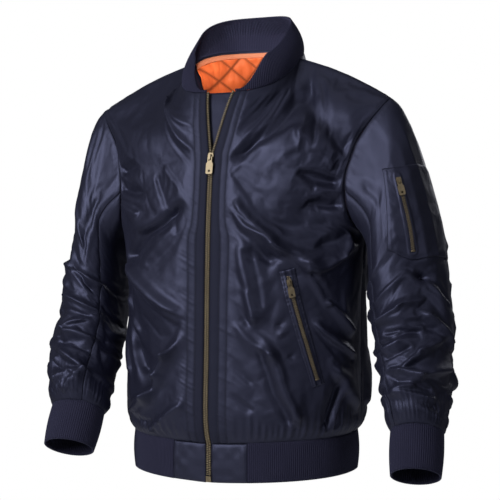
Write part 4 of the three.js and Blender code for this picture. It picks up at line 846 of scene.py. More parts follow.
# painted shade: the colour darkens along the edge seams
markSeamShade(back, 0.7 * seamRoll(edge, -1, 2.6))
backSurface = asSurface(plainBack, -1, (-1, 1), (0, 1))
dress(thicken(back, bodyPanel["wall"]), satin)
sewOn(back, "back", slot="satin")
print("jacket: body panels made")

# Sleeves: a wide upper piece and a narrow one under the arm

sleevePanel = {
    "rows": 176, "columns": 150, "wall": 1.6, "seamDip": 1.2, "seamWidth": 4.5, "pleatPitch": 8.5, "clothStep": 4.4,
}
leftSleeveFolds = [
    (0.24, 0.34, 0.11, 0.48, 16, -6), (0.11, 0.48, 0, 0.55, 16, -6), (0.3, 0.55, 0.2, 0.53, 14, 6),
    (0.3, 0.56, 0.13, 0.6, 14, 5), (0.1, 0.5, 0, 0.6, 14, 6), (0.11, 0.6, 0, 0.69, 14, 6),
    (0.32, 0.69, 0.23, 0.67, 14, 5), (0.22, 0.78, 0.07, 0.69, 14, 6), (0.25, 0.8, 0.16, 0.83, 14, 6),
    (0.16, 0.83, 0, 0.77, 14, 6), (0.29, 0.88, 0.2, 0.86, 13, 5), (0.75, 0.4, 0.9, 0.5, 16, -5),
    (0.7, 0.55, 0.88, 0.6, 15, 5), (0.66, 0.66, 0.85, 0.7, 15, 6), (0.68, 0.78, 0.9, 0.8, 14, 6),
    (0.6, 0.88, 0.8, 0.86, 14, 5), (0.45, 0.6, 0.58, 0.56, 14, -5), (0.42, 0.72, 0.6, 0.7, 14, 5),
    (0.4, 0.84, 0.62, 0.82, 14, 5),
]
rightSleeveFolds = [
    (0.05, 0.36, 0.2, 0.42, 16, -5), (0.12, 0.49, 0.35, 0.39, 15, 5), (0.2, 0.46, 0.3, 0.46, 13, -4),
    (0.15, 0.6, 0.33, 0.56, 14, 5), (0.34, 0.6, 0.2, 0.73, 14, 6), (0.21, 0.74, 0.34, 0.72, 13, 6),
    (0.2, 0.83, 0.33, 0.87, 14, 6), (0.18, 0.93, 0.34, 0.88, 13, 6), (0.34, 0.9, 0.24, 0.96, 12, 5),
    (0.75, 0.42, 0.92, 0.5, 16, -5), (0.68, 0.55, 0.9, 0.6, 15, 6), (0.66, 0.68, 0.88, 0.72, 15, 6),
    (0.66, 0.8, 0.9, 0.82, 14, 6), (0.62, 0.9, 0.84, 0.9, 13, 5), (0.42, 0.62, 0.6, 0.58, 14, 5),
    (0.42, 0.75, 0.6, 0.73, 14, 5), (0.4, 0.87, 0.6, 0.86, 14, 5),
]
leftSleeveCreases = [
    (0.228, 0.348, 0.164, 0.431, 7, -4.5), (0.164, 0.431, 0.115, 0.479, 7, -4.5), (0.115, 0.479, 0.02, 0.54, 7, -4.5),
    (0.304, 0.55, 0.217, 0.537, 6, 4), (0.217, 0.537, 0.129, 0.546, 6, 4), (0.094, 0.499, 0.016, 0.566, 7, 4),
    (0.108, 0.6, 0.005, 0.682, 6, 4.4), (0.09, 0.64, 0.99, 0.71, 6, -3.4), (0.221, 0.778, 0.15, 0.73, 6, 4),
    (0.15, 0.73, 0.07, 0.693, 6, 4), (0.246, 0.802, 0.162, 0.826, 6, 4), (0.162, 0.826, 0.009, 0.772, 6, 4),
    (0.288, 0.876, 0.2, 0.862, 5, 3.4), (0.232, 0.671, 0.315, 0.693, 5, 3.4), (0.28, 0.62, 0.16, 0.65, 6, -3.6),
    (0.3, 0.74, 0.2, 0.715, 5, -3), (0.27, 0.845, 0.12, 0.865, 5, -3), (0.1, 0.9, 0.99, 0.86, 6, 3.4),
    (0.05, 0.28, 0.97, 0.4, 9, 3), (0.02, 0.42, 0.93, 0.5, 7, 3.4), (0.98, 0.58, 0.86, 0.64, 7, 3.6),
    (0.97, 0.66, 0.83, 0.74, 7, -3.6), (0.95, 0.76, 0.8, 0.84, 6, 3.6), (0.28, 0.08, 0.22, 0.24, 8, -2.4),
    (0.5, 0.5, 0.38, 0.46, 7, -3), (0.6, 0.65, 0.44, 0.64, 6, 3), (0.62, 0.78, 0.42, 0.77, 6, -3),
]
rightSleeveCreases = [
    (0.119, 0.489, 0.24, 0.44, 6, 4), (0.24, 0.44, 0.349, 0.392, 6, 4), (0.205, 0.462, 0.296, 0.458, 6, -3.6),
    (0.271, 0.661, 0.193, 0.73, 6, 4), (0.155, 0.601, 0.327, 0.562, 6, 4), (0.216, 0.742, 0.32, 0.725, 6, 4),
    (0.213, 0.826, 0.322, 0.87, 6, 4), (0.18, 0.933, 0.334, 0.878, 6, 4), (0.334, 0.88, 0.242, 0.97, 5, 3.4),
    (0.14, 0.66, 0.3, 0.61, 6, -3.6), (0.19, 0.79, 0.32, 0.78, 6, -3.6), (0.17, 0.88, 0.3, 0.92, 5, -3.2),
    (0.06, 0.28, 0.22, 0.33, 9, 3), (0.02, 0.4, 0.14, 0.44, 7, -3), (0.04, 0.55, 0.15, 0.56, 7, 3.6),
    (0.02, 0.7, 0.16, 0.67, 7, -3.6), (0.03, 0.8, 0.17, 0.77, 6, 3.6), (0.05, 0.9, 0.17, 0.85, 6, 3.4),
    (0.93, 0.5, 0.8, 0.56, 7, 3.6), (0.95, 0.66, 0.8, 0.7, 7, -3.6), (0.94, 0.8, 0.78, 0.82, 6, 3.6),
    (0.3, 0.1, 0.24, 0.28, 8, -2.4), (0.5, 0.55, 0.38, 0.5, 7, -3), (0.6, 0.7, 0.42, 0.68, 6, 3),
]
patchEdges = {
    "across": [0, 0.33, 0.66, 1], "topColumn": [10.9, 9.6, 8, 6.4], "topRow": [2.7, 4.3, 5.2, 5.7],
    "bottomColumn": [11.85, 10.2, 8.3, 6.4], "bottomRow": [8.2, 10.6, 11.3, 11.5],
}


def sleeveCalm(s):
    return smooth(s, 0, 0.08) * smooth(1 - s, 0, 0.04)


def solidSleeve(arm, folds):  # the points of the sleeve's solid on its own rows and columns
    turn, s = np.meshgrid(np.arange(20) / 20, np.arange(27) / 26)
    facing = 1 if arm == "left" else -1
    p = sleeveAt(arm, turn, s)
    height = sleeveCalm(s) * foldField(folds, turn, s, sleeveForm["girth"], sleeveForm["length"], True, 0, skew=0)
    height += 3 * np.where(np.arange(20) % 2 == 0, 1, -1) * smooth(1 - s, 0.005, 0.06) * (1 - smooth(1 - s, 0.06, 0.2))
    p = p + normalsOf(p, facing, True) * height[..., None]
    return np.concatenate([p, p, p[:, :1]], 1)


def nearPatch(turn, s):  # distance from the middle of the pocket patch
    ahead = np.mod(turn + 0.5, 1) - 0.5
    return np.hypot((ahead - 0.1) * sleeveForm["girth"] * 0.75, (s - 0.27) * sleeveForm["length"] * 0.75)


def wornSleeve(arm, start, end, columns, rows, folds, creases, seed):
    form = sleeveForm
    turn, s = np.meshgrid(np.linspace(start, end, columns + 1), np.linspace(0, 1, rows + 1))
    facing = 1 if arm == "left" else -1
    wrapped = np.mod(turn, 1)
    p = sleeveAt(arm, turn, s)
    main = foldField(folds, wrapped, s, form["girth"], form["length"], True, seed=seed)
    narrow = foldField(creases, wrapped, s, form["girth"], form["length"], True, 3, seed + 40, widen=1.2)
    x, y = turn * form["girth"] + 600, s * form["length"]
    loose = smooth(s, 0.2, 0.5) * smooth(unevenness(x, y, 80, seed + 3), -0.8, 0.5)
    height = sleeveCalm(s) * (main + 1.2 * narrow + 2.6 * loose * crinkle(x * 0.8, y * 1.3, 55, seed + 9))
    p = p + normalsOf(p, facing) * height[..., None]
    if arm == "left":
        solid = between(solidSleeve(arm, folds), s * 26, np.mod(turn, 1) * 20)
        p = mix(p, solid, (1 - smooth(nearPatch(turn, s), 52, 78))[..., None])
    return turn, s, p, facing


def sleevePiece(name, arm, start, end, folds, creases, seed):
    form, panel = sleeveForm, sleevePanel
    size = (end - start) * form["girth"]
    steps = round(size / panel["clothStep"]), round(form["length"] / panel["clothStep"])
    turn, s, p, facing = wornSleeve(arm, start, end, *steps, folds, creases, seed)
    fromSeam = np.minimum(turn - start, end - turn) * form["girth"]
    edge = np.minimum(fromSeam, np.minimum(s, 1 - s) * form["length"])
    pins = 1 - smooth(edge, 2, 9)
    if arm == "left":
        pins = np.maximum(pins, 1 - smooth(nearPatch(turn, s), 56, 70))
    shift = settle(p, (0.02, 0.02, 0.045), pins, 0.05, 0.12) * (1 - pins)[..., None]
    columns = round((end - start) * panel["columns"])
    turn, s, p, facing = wornSleeve(arm, start, end, columns, panel["rows"], folds, creases, seed)
    p = p + finer(shift, *p.shape[:2])
    x, y = turn * form["girth"] + 600, s * form["length"]
    rest = (1 - s) * form["length"]
    side = np.minimum(turn - start, end - turn) * form["girth"]
    height = 2.8 * (gathers(x, panel["pleatPitch"], seed + 7) - 0.4) * smooth(rest, 2, 20) * (1 - smooth(rest, 25, 90))
    height += 0.35 * unevenness(x, y, 12, seed + 6)
    for distance in (side, y, rest):
        height += seamRoll(distance, panel["seamDip"], panel["seamWidth"])
    height += 1.3 * (gathers(y + side * 0.3, 6, seed + 11) - 0.4) * seamRoll(side - 7, -1, 6) * smooth(y, 8, 20)
    height += 1.2 * (gathers(x, 6.5, seed + 12) - 0.4) * seamRoll(y - 8, -1, 6) * smooth(side, 2, 10)
    p = p + normalsOf(p, facing) * height[..., None]
    piece = clothGrid(name, p, turn * form["girth"], s * form["length"], facing)
    # painted shade: the colour darkens along the seams at the sides, the armhole and the cuff end
    markSeamShade(piece, 0.7 * seamRoll(np.minimum(side, np.minimum(y, rest)), -1, 2.6))
    return dress(thicken(piece, panel["wall"]), satin), asSurface(p, facing, (start, end), (0, 1))


seams = sleeveForm["frontSeam"], sleeveForm["backSeam"]
sleeveCloth = {}
for arm, folds, creases, seed in (
        ("left", leftSleeveFolds, leftSleeveCreases, 71), ("right", rightSleeveFolds, rightSleeveCreases, 91)):
    for half, start, end in (("top", seams[1], seams[0] + 1), ("under", seams[0], seams[1])):
        piece, sleeveCloth[arm, half] = sleevePiece(
            arm + "Sleeve" + half.title(), arm, start, end, folds, creases, seed)
        sewOn(piece, f"sleeve_{arm}_{half}", slot="satin")
print("jacket: sleeves made")

# Ribs: every wale stands out from the knit ground
ribForm = {"pitch": 3.1, "stepsPerRib": 6, "depth": 0.9, "wall": 1.8}
cuffForm = {"length": 64, "narrowing": 0.06, "belly": 1.5, "girth": 240, "rows": 16}
collarForm = {
    "side": 49, "back": 52, "lean": 20, "belly": 3.5, "end": 3, "risesFrom": 0.03, "fullAt": 0.26, "rows": 16,
}
hemForm = {"height": 59, "belly": 2, "rows": 14, "girth": 1100, "tab": 3 / 64}


def wales(x):
    return ribForm["depth"] * (np.abs(np.cos(np.pi * x / ribForm["pitch"])) ** 0.8 - 1)


def ribPiece(name, p, x, y, facing, wraps=False):
    p = p + normalsOf(p, facing, wraps) * wales(x)[..., None]
    piece = clothGrid(name, p, x, y, facing, wraps)
    thicken(piece, ribForm["wall"])
    return dress(piece, knit)


def cuffPiece(arm):
    form = cuffForm
    ribs = int(round(form["girth"] / ribForm["pitch"]))
    columns = ribs * ribForm["stepsPerRib"]
    turn, t = np.meshgrid(np.arange(columns) / columns, np.linspace(-0.03, 1, form["rows"] + 1))
    centre, out, fore, along, _, _ = [a[0] for a in sleeveFrame(arm, np.ones(1))]
    ring = sleeveAt(arm, turn[0], np.ones(columns)) - centre
    drop = ring @ along
    flat = ring - drop[:, None] * along
    size = 1 - form["narrowing"] * t + form["belly"] / 40 * np.sin(np.pi * t)
    p = centre + flat[None] * size[..., None] + (drop[None] + form["length"] * t)[..., None] * along
    facing = 1 if arm == "left" else -1
    return ribPiece(arm + "Cuff", p, turn * ribs * ribForm["pitch"], t * form["length"], facing, True)


for arm in ("left", "right"):
    sewOn(cuffPiece(arm), f"cuff_{arm}", slot="rib_knit")


def necklineAt(j):  # 0 at the left front, 28 at the right front
    left = frontAt(1, np.clip(j, 0, 7) / 16, np.ones_like(j))
    behind = backAt((14 - np.clip(j, 7, 21)) / 16, np.ones_like(j))
    right = frontAt(-1, (28 - np.clip(j, 21, 28)) / 16, np.ones_like(j))
    return np.where((j < 7)[..., None], left, np.where((j > 21)[..., None], right, behind))


def evenly(path, count):  # places along a path at equal distances
    steps = np.linspace(0, 1, 2001)
    spots = path(steps)
    run = np.concatenate([[0], np.cumsum(np.linalg.norm(np.diff(spots, axis=0), axis=1))])
    return np.interp(np.linspace(0, run[-1], count), run, steps), run[-1]


def collarPiece():
    form = collarForm
    _, length = evenly(lambda t: necklineAt(t * 28), 10)
    ribs = int(round(length / ribForm["pitch"]))
    columns = ribs * ribForm["stepsPerRib"]
    place, _ = evenly(lambda t: necklineAt(t * 28), columns + 1)
    j = place * 28
    seam = necklineAt(j)
    seam[:, 2] -= 0.6
    fromEnd = np.minimum(j, 28 - j) / 14
    full = smooth(fromEnd, form["risesFrom"], form["fullAt"])
    height = mix(form["end"], mix(form["side"], form["back"], smooth(fromEnd, 0.5, 1)), full)
    inwards = unit(np.stack([-seam[:, 0], -seam[:, 1] * 1.1, np.zeros_like(j)], -1))
    t = np.linspace(0, 1, form["rows"] + 1)[:, None]
    lean = form["lean"] * full * t ** 1.3 - form["belly"] * full * np.sin(np.pi * t)
    p = seam[None] + inwards[None] * lean[..., None]
    p[..., 2] += height * t
    x = np.broadcast_to(np.linspace(0, ribs * ribForm["pitch"], columns + 1), p.shape[:2])
    return ribPiece("collarRib", p, x, height * t, 1)


sewOn(collarPiece(), "collar", slot="rib_knit")


def hemSeamAt(j):  # 0 at the zip on the left, 64 at the zip on the right
    zero = np.zeros_like(j)
    left = frontAt(1, np.clip(j, 0, 16) / 16, zero)
    behind = backAt((32 - np.clip(j, 16, 48)) / 16, zero)
    right = frontAt(-1, (64 - np.clip(j, 48, 64)) / 16, zero)
    return np.where((j < 16)[..., None], left, np.where((j > 48)[..., None], right, behind))


def hemAt(j, t):
    seam = hemSeamAt(j)
    size = 1 + hemForm["belly"] / 160 * np.sin(np.pi * t)
    grow = np.where(np.abs(seam[..., 0]) > 60, size, mix(1, size, np.abs(seam[..., 0]) / 60))
    return np.stack([seam[..., 0] * grow, seam[..., 1] * grow, seam[..., 2] - hemForm["height"] * t], -1)


def hemRibPiece():
    low, high = hemForm["tab"], 1 - hemForm["tab"]
    path = lambda t: hemSeamAt(mix(low, high, t) * 64)
    _, length = evenly(path, 10)
    ribs = int(round(length / ribForm["pitch"]))
    columns = ribs * ribForm["stepsPerRib"]
    place, _ = evenly(path, columns + 1)
    j, t = np.meshgrid(mix(low, high, place) * 64, np.linspace(-0.03, 1, hemForm["rows"] + 1))
    x = np.broadcast_to(np.linspace(0, ribs * ribForm["pitch"], columns + 1), j.shape)
    return ribPiece("hemRib", hemAt(j, t), x, t * hemForm["height"], -1)


sewOn(hemRibPiece(), "hem_rib", slot="rib_knit")


def hemTabPiece(name, fromJ, toJ):
    j, t = np.meshgrid(np.linspace(fromJ, toJ, 33), np.linspace(0, 1, 33))
    p = hemAt(j, t)
    x, y = j * 17, t * hemForm["height"]
    edge = np.minimum(np.abs(j - fromJ), np.abs(j - toJ)) * 17
    height = 0.7 * unevenness(x, y, 12, 3) + seamRoll(np.minimum(edge, np.minimum(y, 59 - y)), 0.9, 3)
    p = p + normalsOf(p, -1) * height[..., None]
    piece = clothGrid(name, p, x, y, -1)
    thicken(piece, 1.8)
    return dress(piece, satin)


sewOn(hemTabPiece("leftHemTab", 0, 3), "hem_tab_left", slot="satin")
sewOn(hemTabPiece("rightHemTab", 61, 64), "hem_tab_right", slot="satin")
print("jacket: ribs made")

# Front zip: tapes, teeth and the flap behind them

zipForm = {
    "opening": 4.6, "gap": 0.7, "half": 3.7, "sink": 0.2, "thick": 2, "pitch": 2.7, "boxTop": 10,
    "tapeUnder": 12, "tapeSink": 2.9, "tapeWall": 0.8,
    "flapUnder": 14, "flapReach": 46, "flapSink": 4.05, "flapSlack": 2.4, "flapWall": 1.2,
}


def zipEdge(side):  # the edge of the cloth from the hem up, with the direction into the cloth and its outward normal
    t, v = np.linspace(1, 0, 40)[:-1], np.linspace(0, 1, 320)
    end, step = (0, 1) if side > 0 else (64, -1)
    low, lowNext = hemAt(np.full_like(t, end), t), hemAt(np.full_like(t, end + step), t)
    high, highNext = frontAt(side, np.zeros_like(v), v), frontAt(side, np.full_like(v, 1 / 16), v)
    edge = np.concatenate([low, high])
    inwards = unit(np.concatenate([lowNext, highNext]) - edge)
    normal = unit(np.cross(inwards, np.gradient(edge, axis=0))) * side
    return {"edge": edge, "inwards": inwards, "normal": normal}


zipEdges = {1: zipEdge(1), -1: zipEdge(-1)}


def beside(side, across, depth):
    path = zipEdges[side]
    return path["edge"] + path["inwards"] * across - path["normal"] * depth


def zipTapePiece(name, side):
    form = zipForm
    across = np.linspace(0.1 - form["opening"], form["tapeUnder"], 12)
    p = np.stack([beside(side, place, form["tapeSink"]) for place in across], 1)[::3]
    x = np.broadcast_to(across, p.shape[:2])
    y = np.broadcast_to(np.linspace(0, 650, p.shape[0])[:, None], p.shape[:2])
    return dress(thicken(clothGrid(name, p, x, y, side), form["tapeWall"]), tape)


def toothMesh(size, bevel):
    bm = bmesh.new()
    bmesh.ops.create_cube(bm, size=1)
    bmesh.ops.scale(bm, verts=bm.verts, vec=Vector(size) * mm)
    bmesh.ops.bevel(bm, geom=bm.edges[:], offset=bevel * mm, segments=1, affect="EDGES")
    mesh = bpy.data.meshes.new("tooth")
    bm.to_mesh(mesh)
    bm.free()
    return mesh


def zipTeeth(name, side):
    form = zipForm
    middle = beside(side, -form["gap"] - form["half"] / 2 - 0.15, form["sink"] + form["thick"] / 2)
    above = middle[:, 2] > middle[0, 2] + form["boxTop"]
    shift = 0 if side > 0 else 0.5
    where, runs, outs = alongPath(middle[above], zipEdges[side]["normal"][above], form["pitch"], 0.5 + shift / 2)
    asides = unit(np.cross(runs, outs))
    tooth = toothMesh((form["half"] + 0.5, form["pitch"] * 0.56, form["thick"]), 0.35)
    piece = tileParts(name, tooth, [placing(*four) for four in zip(where, asides, runs, np.cross(asides, runs))])
    return dress(piece, brass)


for word, side in (("left", 1), ("right", -1)):
    sewOn(zipTapePiece(word + "ZipTape", side), f"zip_tape_{word}", slot="zip_tape")
    sewOn(zipTeeth(word + "ZipTeeth", side), f"zip_chain_{word}", slot="brass")


def windFlapPiece():
    form = zipForm
    gap = np.linalg.norm(zipEdges[-1]["edge"] - zipEdges[1]["edge"], axis=1)[:, None]
    rows = []
    for reach in np.linspace(-form["flapUnder"], form["flapReach"], 40):
        depth = form["flapSink"] + form["flapSlack"] * np.clip((reach + form["flapUnder"]) / 20, 0, 1)
        share = np.clip(reach / gap, 0, 1)
        across = mix(beside(-1, 0, depth), beside(1, 0, depth), share)
        rows.append(np.where(reach <= 0, beside(-1, -reach, depth),
                             np.where(reach >= gap, beside(1, reach - gap, depth), across)))
    p = np.stack(rows, 1)[::2]
    x = np.broadcast_to(np.linspace(0, 60, p.shape[1]), p.shape[:2]) + 50
    y = np.broadcast_to(np.linspace(0, 650, p.shape[0])[:, None], p.shape[:2])
    soft = 0.8 * unevenness(x, y, 14, 5) + 1.1 * crinkle(x * 1.4, y * 0.8, 20, 6) + 0.3
    p = p + normalsOf(p, 1) * (soft * smooth(650 - y, 0, 12))[..., None]
    # painted shade: the whole flap is darkened evenly, as it sits in the shade behind the zip
    piece = markSeamShade(clothGrid("windFlap", p, x, y, 1), np.full(x.shape, 0.45))
    return dress(thicken(piece, form["flapWall"]), satin)


sewOn(windFlapPiece(), "wind_flap", slot="satin")

# Quilted lining behind the neck and the pale binding along its top


def liningGrid(lowV, highV, rows):
    form = liningForm
    return np.meshgrid(np.linspace(-form["reach"], form["reach"], form["columns"] + 1), np.linspace(lowV, highV, rows))


def liningPiece():
    form = liningForm
    u, v = liningGrid(form["lowV"], form["highV"], form["rows"])
    spots, _ = spotOn(backSurface, u, v)
    phase = [np.pi * math.sqrt(2) * (spots[..., 0] + sign * spots[..., 2]) / form["diamond"] for sign in (1, -1)]
    waves = [np.abs(np.cos(turn)) for turn in phase]
    puff = (waves[0] * waves[1]) ** 0.6
    x, y = u * bodyForm["girth"] + 300, v * bodyForm["length"]
    small = (0.9 * unevenness(x, y, 8, 15) + 1.5 * crinkle(x, y, 17, 16)) * smooth(puff, 0, 0.5)
    depth = form["sink"] + form["wall"] + form["puff"] * puff + 1.1 * small
    p = spotOn(backSurface, u, v, -depth)[0]
    piece = clothGrid("quiltedLining", p, x, y, 1)
    # painted shade: the colour darkens in the quilting grooves and in the hollows between the puffs
    near = np.minimum(waves[0], waves[1])
    markSeamShade(piece, 0.95 * np.exp(-(near / 0.16) ** 2) + 0.25 * (1 - puff))
    return dress(thicken(piece, form["wall"]), orange)


def bindingPiece():
    form = liningForm
    u, v = liningGrid(form["highV"], form["bindingTop"], 9)
    t = (v - form["highV"]) / (form["bindingTop"] - form["highV"])
    p = spotOn(backSurface, u, v, -(form["sink"] + 1.2 + 1.3 * np.sin(np.pi * np.clip(t, 0.06, 1)) ** 0.5))[0]
    x, y = u * bodyForm["girth"] + 300, v * bodyForm["length"]
    return dress(thicken(clothGrid("neckBinding", p, x, y, 1), 1), paleOrange)


sewOn(liningPiece(), "lining_back", slot="quilted_lining")
sewOn(bindingPiece(), "neck_binding", slot="binding")
print("jacket: zip and lining made")

# Zip pockets on the left front and the left sleeve

pocketForm = {"lift": 1.2, "wall": 1.3, "chainLift": 3.1, "chainThick": 1.6, "pitch": 2.5, "toothWidth": 2.9}


def lips(across):  # two raised lips beside the teeth
    return 1.2 * np.exp(-((np.abs(across) - 5) / 1.9) ** 2)


def weltGrid():
    line, form = pocketLine, bodyForm
    run = np.array([(line["topU"] - line["bottomU"]) * form["girth"], (line["topV"] - line["bottomV"]) * form["length"]])
    aside = np.array([run[1], -run[0]]) / np.hypot(*run)
    across, t = np.meshgrid(np.linspace(-line["width"] / 2, line["width"] / 2, 33), np.linspace(0, 1, 121))
    u = mix(line["bottomU"], line["topU"], t) + aside[0] * across / form["girth"]
    v = mix(line["bottomV"], line["topV"], t) + aside[1] * across / form["length"]
    return across, t * np.hypot(*run), u, v


def pocketWelt():
    across, y, u, v = weltGrid()
    edge = np.minimum(12 - np.abs(across), np.minimum(y, y[-1, 0] - y))
    ticks = (gathers(y, 7.5, 5) - 0.5) * smooth(np.abs(across), 6, 9)
    lift = pocketForm["lift"] + pocketForm["wall"] * smooth(edge, -1, 3) + lips(across) + 0.8 * ticks * smooth(edge, 0, 2)
    p, _ = spotOn(leftFrontCloth, u, v, lift - 0.5)
    piece = clothGrid("pocketWelt", p, across + 100, y, 1)
    return dress(thicken(piece, 1.2), satin)


def teethOn(name, path, normals, width, pitch):
    tooth = toothMesh((width, pitch * 0.56, pocketForm["chainThick"]), 0.28)
    places = []
    for side in (-1, 1):
        where, runs, outs = alongPath(path, normals, pitch, 0.5 + (side + 1) / 4)
        asides = unit(np.cross(runs, outs))
        where = where + asides * side * width * 0.42
        places += [placing(*four) for four in zip(where, asides, runs, np.cross(asides, runs))]
    return dress(tileParts(name, tooth, places), brass)


def endStop(name, spot, run, out):  # the metal bar that closes the lower end of a pocket zip
    aside = unit(np.cross(run, out))
    bar = toothMesh((6.4, 2.2, 2.2), 0.5)
    return dress(tileParts(name, bar, [placing(spot, aside, run, np.cross(aside, run))]), brass)


def linePath(surface, fromU, fromV, toU, toV, lift):
    t = np.linspace(0, 1, 160)
    return spotOn(surface, mix(fromU, toU, t), mix(fromV, toV, t), lift)


line = pocketLine
teethEnds = [mix(line["bottomU"], line["topU"], t) for t in (0.06, 0.95)], [
    mix(line["bottomV"], line["topV"], t) for t in (0.06, 0.95)]
path, outs = linePath(leftFrontCloth, teethEnds[0][0], teethEnds[1][0], teethEnds[0][1], teethEnds[1][1],
                      pocketForm["chainLift"] + pocketForm["chainThick"] / 2)
sewOn(pocketWelt(), "pocket_left_welt", slot="satin")
sewOn(teethOn("pocketTeeth", path, outs, pocketForm["toothWidth"], pocketForm["pitch"]), "pocket_left_chain",
      slot="brass")
sewOn(endStop("pocketEndStop", path[0] + (outs[0] * 0.3), unit(path[4] - path[0]), outs[0]))


def patchPlace(across, t):
    read = lambda column: readTable(patchEdges, "across", column, across)
    column = mix(read("bottomColumn"), read("topColumn"), t)
    row = mix(read("bottomRow"), read("topRow"), t)
    return (13 + column) / 20, row / 26


def sleevePatch():
    across, t = np.meshgrid(np.linspace(0, 1, 67), np.linspace(0, 1, 67))
    turn, s = patchPlace(across, t)
    flat, _ = spotOn(sleeveCloth["left", "top"], turn, s)
    wide = np.linalg.norm(np.diff(flat, axis=1), axis=2).sum(1).mean()
    long = np.linalg.norm(np.diff(flat, axis=0), axis=2).sum(0).mean()
    x, y = across * wide, t * long
    edge = np.minimum(np.minimum(x, wide - x), np.minimum(y, long - y))
    zipLine = nearLine(x, y, 0.36 * wide, 0.1 * long, 0.27 * wide, 0.9 * long)
    lift = 1.9 + 1.3 * smooth(edge, -1, 3) + lips(zipLine) + seamRoll(edge - 3.2, 0.7, 1.3)
    lift += (0.5 * unevenness(x + 60, y, 16, 9) + 0.6 * crinkle(x + 60, y, 30, 8)) * smooth(edge, 3, 9)
    lift += 0.7 * (gathers(x + y, 6, 4) - 0.4) * seamRoll(edge - 6, -1, 3)
    p, _ = spotOn(sleeveCloth["left", "top"], turn, s, lift)
    return dress(thicken(clothGrid("sleevePatch", p, x, y, 1), 1.5), satin)


sewOn(sleevePatch(), "sleeve_pocket_patch", slot="satin")
lowTurn, lowS = patchPlace(np.array(0.36), 0.1)
highTurn, highS = patchPlace(np.array(0.27), 0.9)
path, outs = linePath(sleeveCloth["left", "top"], lowTurn, lowS, highTurn, highS, 3.9 + 0.8)
sewOn(teethOn("sleevePocketTeeth", path, outs, pocketForm["toothWidth"], pocketForm["pitch"]), "sleeve_pocket_chain",
      slot="brass")
sewOn(endStop("sleevePocketEndStop", path[0], unit(path[4] - path[0]), outs[0]))
print("jacket: pockets made")

# Stitching

stitchPlaces = []
for side, surface in ((1, leftFrontCloth), (-1, rightFrontCloth)):
    v = np.linspace(0.004, 0.985, 300)
    for distance in bodyPanel["placket"]:
        stitchPlaces += stitchesOn(*spotOn(surface, np.full_like(v, distance / bodyForm["girth"]), v, 0.15))
    v = np.linspace(0.62, 0.98, 150)
    stitchPlaces += stitchesOn(*spotOn(surface, np.full_like(v, 1 - 6 / bodyForm["girth"]), v, 0.12))
sewOn(dress(tileParts("frontStitches", stitch, stitchPlaces), thread))
across, y, u, v = weltGrid()
ring = [(3, slice(4, 117)), (29, slice(4, 117))]
weltStitches = []
for column, rows in ring:
    spots, normals = spotOn(leftFrontCloth, u[rows, column], v[rows, column], 2.2)
    weltStitches += stitchesOn(spots, normals)
patchStitches = []
for start, end in (((0.05, 0.05), (0.05, 0.95)), ((0.95, 0.05), (0.95, 0.95)), ((0.05, 0.05), (0.95, 0.05)),
                   ((0.05, 0.95), (0.95, 0.95))):
    t = np.linspace(0, 1, 120)
    turn, s = patchPlace(mix(start[0], end[0], t), mix(start[1], end[1], t))
    patchStitches += stitchesOn(*spotOn(sleeveCloth["left", "top"], turn, s, 2.75))
sewOn(dress(tileParts("pocketStitches", stitch, weltStitches + patchStitches), thread))
tabStitches = []
for ends in ((2.7, 0.3), (61.3, 63.7)):
    for j in (ends[0], mix(ends[0], ends[1], 0.14)):
        t = np.linspace(0.05, 0.95, 60)
        spots = hemAt(np.full_like(t, j), t)
        outwards = unit(spots * np.array([1, 1, 0]))
        tabStitches += stitchesOn(spots + outwards * 0.2, outwards)
sewOn(dress(tileParts("hemTabStitches", stitch, tabStitches), thread))
print("jacket: stitching made")

# The sliders, pulls and the zip's box keep their solids, with softened edges

for node in ("zip_slider", "zip_pull", "zip_box", "pocket_left_slider", "pocket_left_pull", "sleeve_pocket_slider",
             "sleeve_pocket_pull"):
    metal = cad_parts[node]
    dress(metal, brass)
    soft = metal.modifiers.new("soft", "BEVEL")
    soft.width = 0.3 * mm
    soft.segments = 2
    soft.limit_method = "ANGLE"

# They are those of the plain forms, before any fold, slack or rib is added

print("jacket: cut sizes stated")

# Studio

studio = {
    "aim": (0.0072, 0.0035, -0.301), "azimuth": 26, "elevation": 1.75, "distance": 2.0, "lens": 90,
    "floor": -1.15, "floorRadius": 1.3,
}
camera = bpy.data.objects.new("camera", bpy.data.cameras.new("camera"))
bpy.context.scene.collection.objects.link(camera)
turn, rise = math.radians(studio["azimuth"]), math.radians(studio["elevation"])
backwards = Vector((math.sin(turn) * math.cos(rise), -math.cos(turn) * math.cos(rise), math.sin(rise)))
camera.location = Vector(studio["aim"]) + backwards * studio["distance"]
camera.rotation_euler = (-backwards).to_track_quat("-Z", "Y").to_euler()
camera.data.lens = studio["lens"]
camera.data.sensor_width = 36
bpy.context.scene.camera = camera


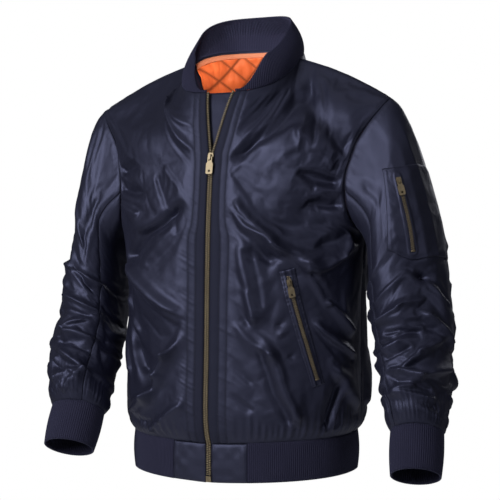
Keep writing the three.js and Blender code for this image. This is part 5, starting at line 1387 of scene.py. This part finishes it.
def softBox(name, place, aim, size, power, colour=(1, 1, 1)):
    light = bpy.data.lights.new(name, "AREA")
    light.shape = "RECTANGLE"
    light.size, light.size_y = size
    light.energy = power
    light.color = colour
    lamp = bpy.data.objects.new(name, light)
    lamp.location = place
    lamp.rotation_euler = (Vector(aim) - Vector(place)).to_track_quat("-Z", "Y").to_euler()
    bpy.context.scene.collection.objects.link(lamp)
    return lamp


softBox("keyLight", (-0.9, -2.1, 0.5), (0, 0, -0.25), (0.8, 1.1), 42)
softBox("sideLight", (2.3, -1.5, 0.7), (0.2, 0, -0.3), (0.6, 1.4), 8)
softBox("topLight", (0, -0.5, 1.9), (0, 0, -0.2), (1.2, 0.8), 3.5)
softBox("backLight", (0.5, 2.2, 0.7), (0, 0, -0.25), (1.2, 1.2), 10)
neckLight = softBox("neckLight", (-0.06, -0.02, -0.02), (0.02, 0.08, -0.04), (0.04, 0.04), 0.13)
neckLight.visible_camera = False

world = bpy.data.worlds.new("studioAir")
bpy.context.scene.world = world
world.use_nodes = True
air = world.node_tree
ground = air.nodes["Background"]
ground.inputs["Color"].default_value = (1, 1, 1, 1)
ground.inputs["Strength"].default_value = 0.06
seen = nodeIn(air, "ShaderNodeBackground")
seen.inputs["Color"].default_value = (1, 1, 1, 1)
seen.inputs["Strength"].default_value = 1.0
pick = nodeIn(air, "ShaderNodeMixShader")
rays = nodeIn(air, "ShaderNodeLightPath")
air.links.new(rays.outputs["Is Camera Ray"], pick.inputs["Fac"])
air.links.new(ground.outputs["Background"], pick.inputs[1])
air.links.new(seen.outputs["Background"], pick.inputs[2])
air.links.new(pick.outputs["Shader"], air.nodes["World Output"].inputs["Surface"])

bm = bmesh.new()
bmesh.ops.create_circle(bm, cap_ends=True, radius=studio["floorRadius"], segments=96)
bmesh.ops.translate(bm, verts=bm.verts, vec=(0, 0, studio["floor"]))
floorMesh = bpy.data.meshes.new("floor")
bm.to_mesh(floorMesh)
bm.free()
floor = bpy.data.objects.new("floor", floorMesh)
bpy.context.scene.collection.objects.link(floor)
pale = bpy.data.materials.new("paleFloor")
pale.use_nodes = True
pale.node_tree.nodes["Principled BSDF"].inputs["Base Color"].default_value = (0.85, 0.85, 0.84, 1)
pale.node_tree.nodes["Principled BSDF"].inputs["Roughness"].default_value = 0.9
dress(floor, pale)
bpy.context.scene.view_settings.view_transform = "Standard"
print("jacket: studio set")
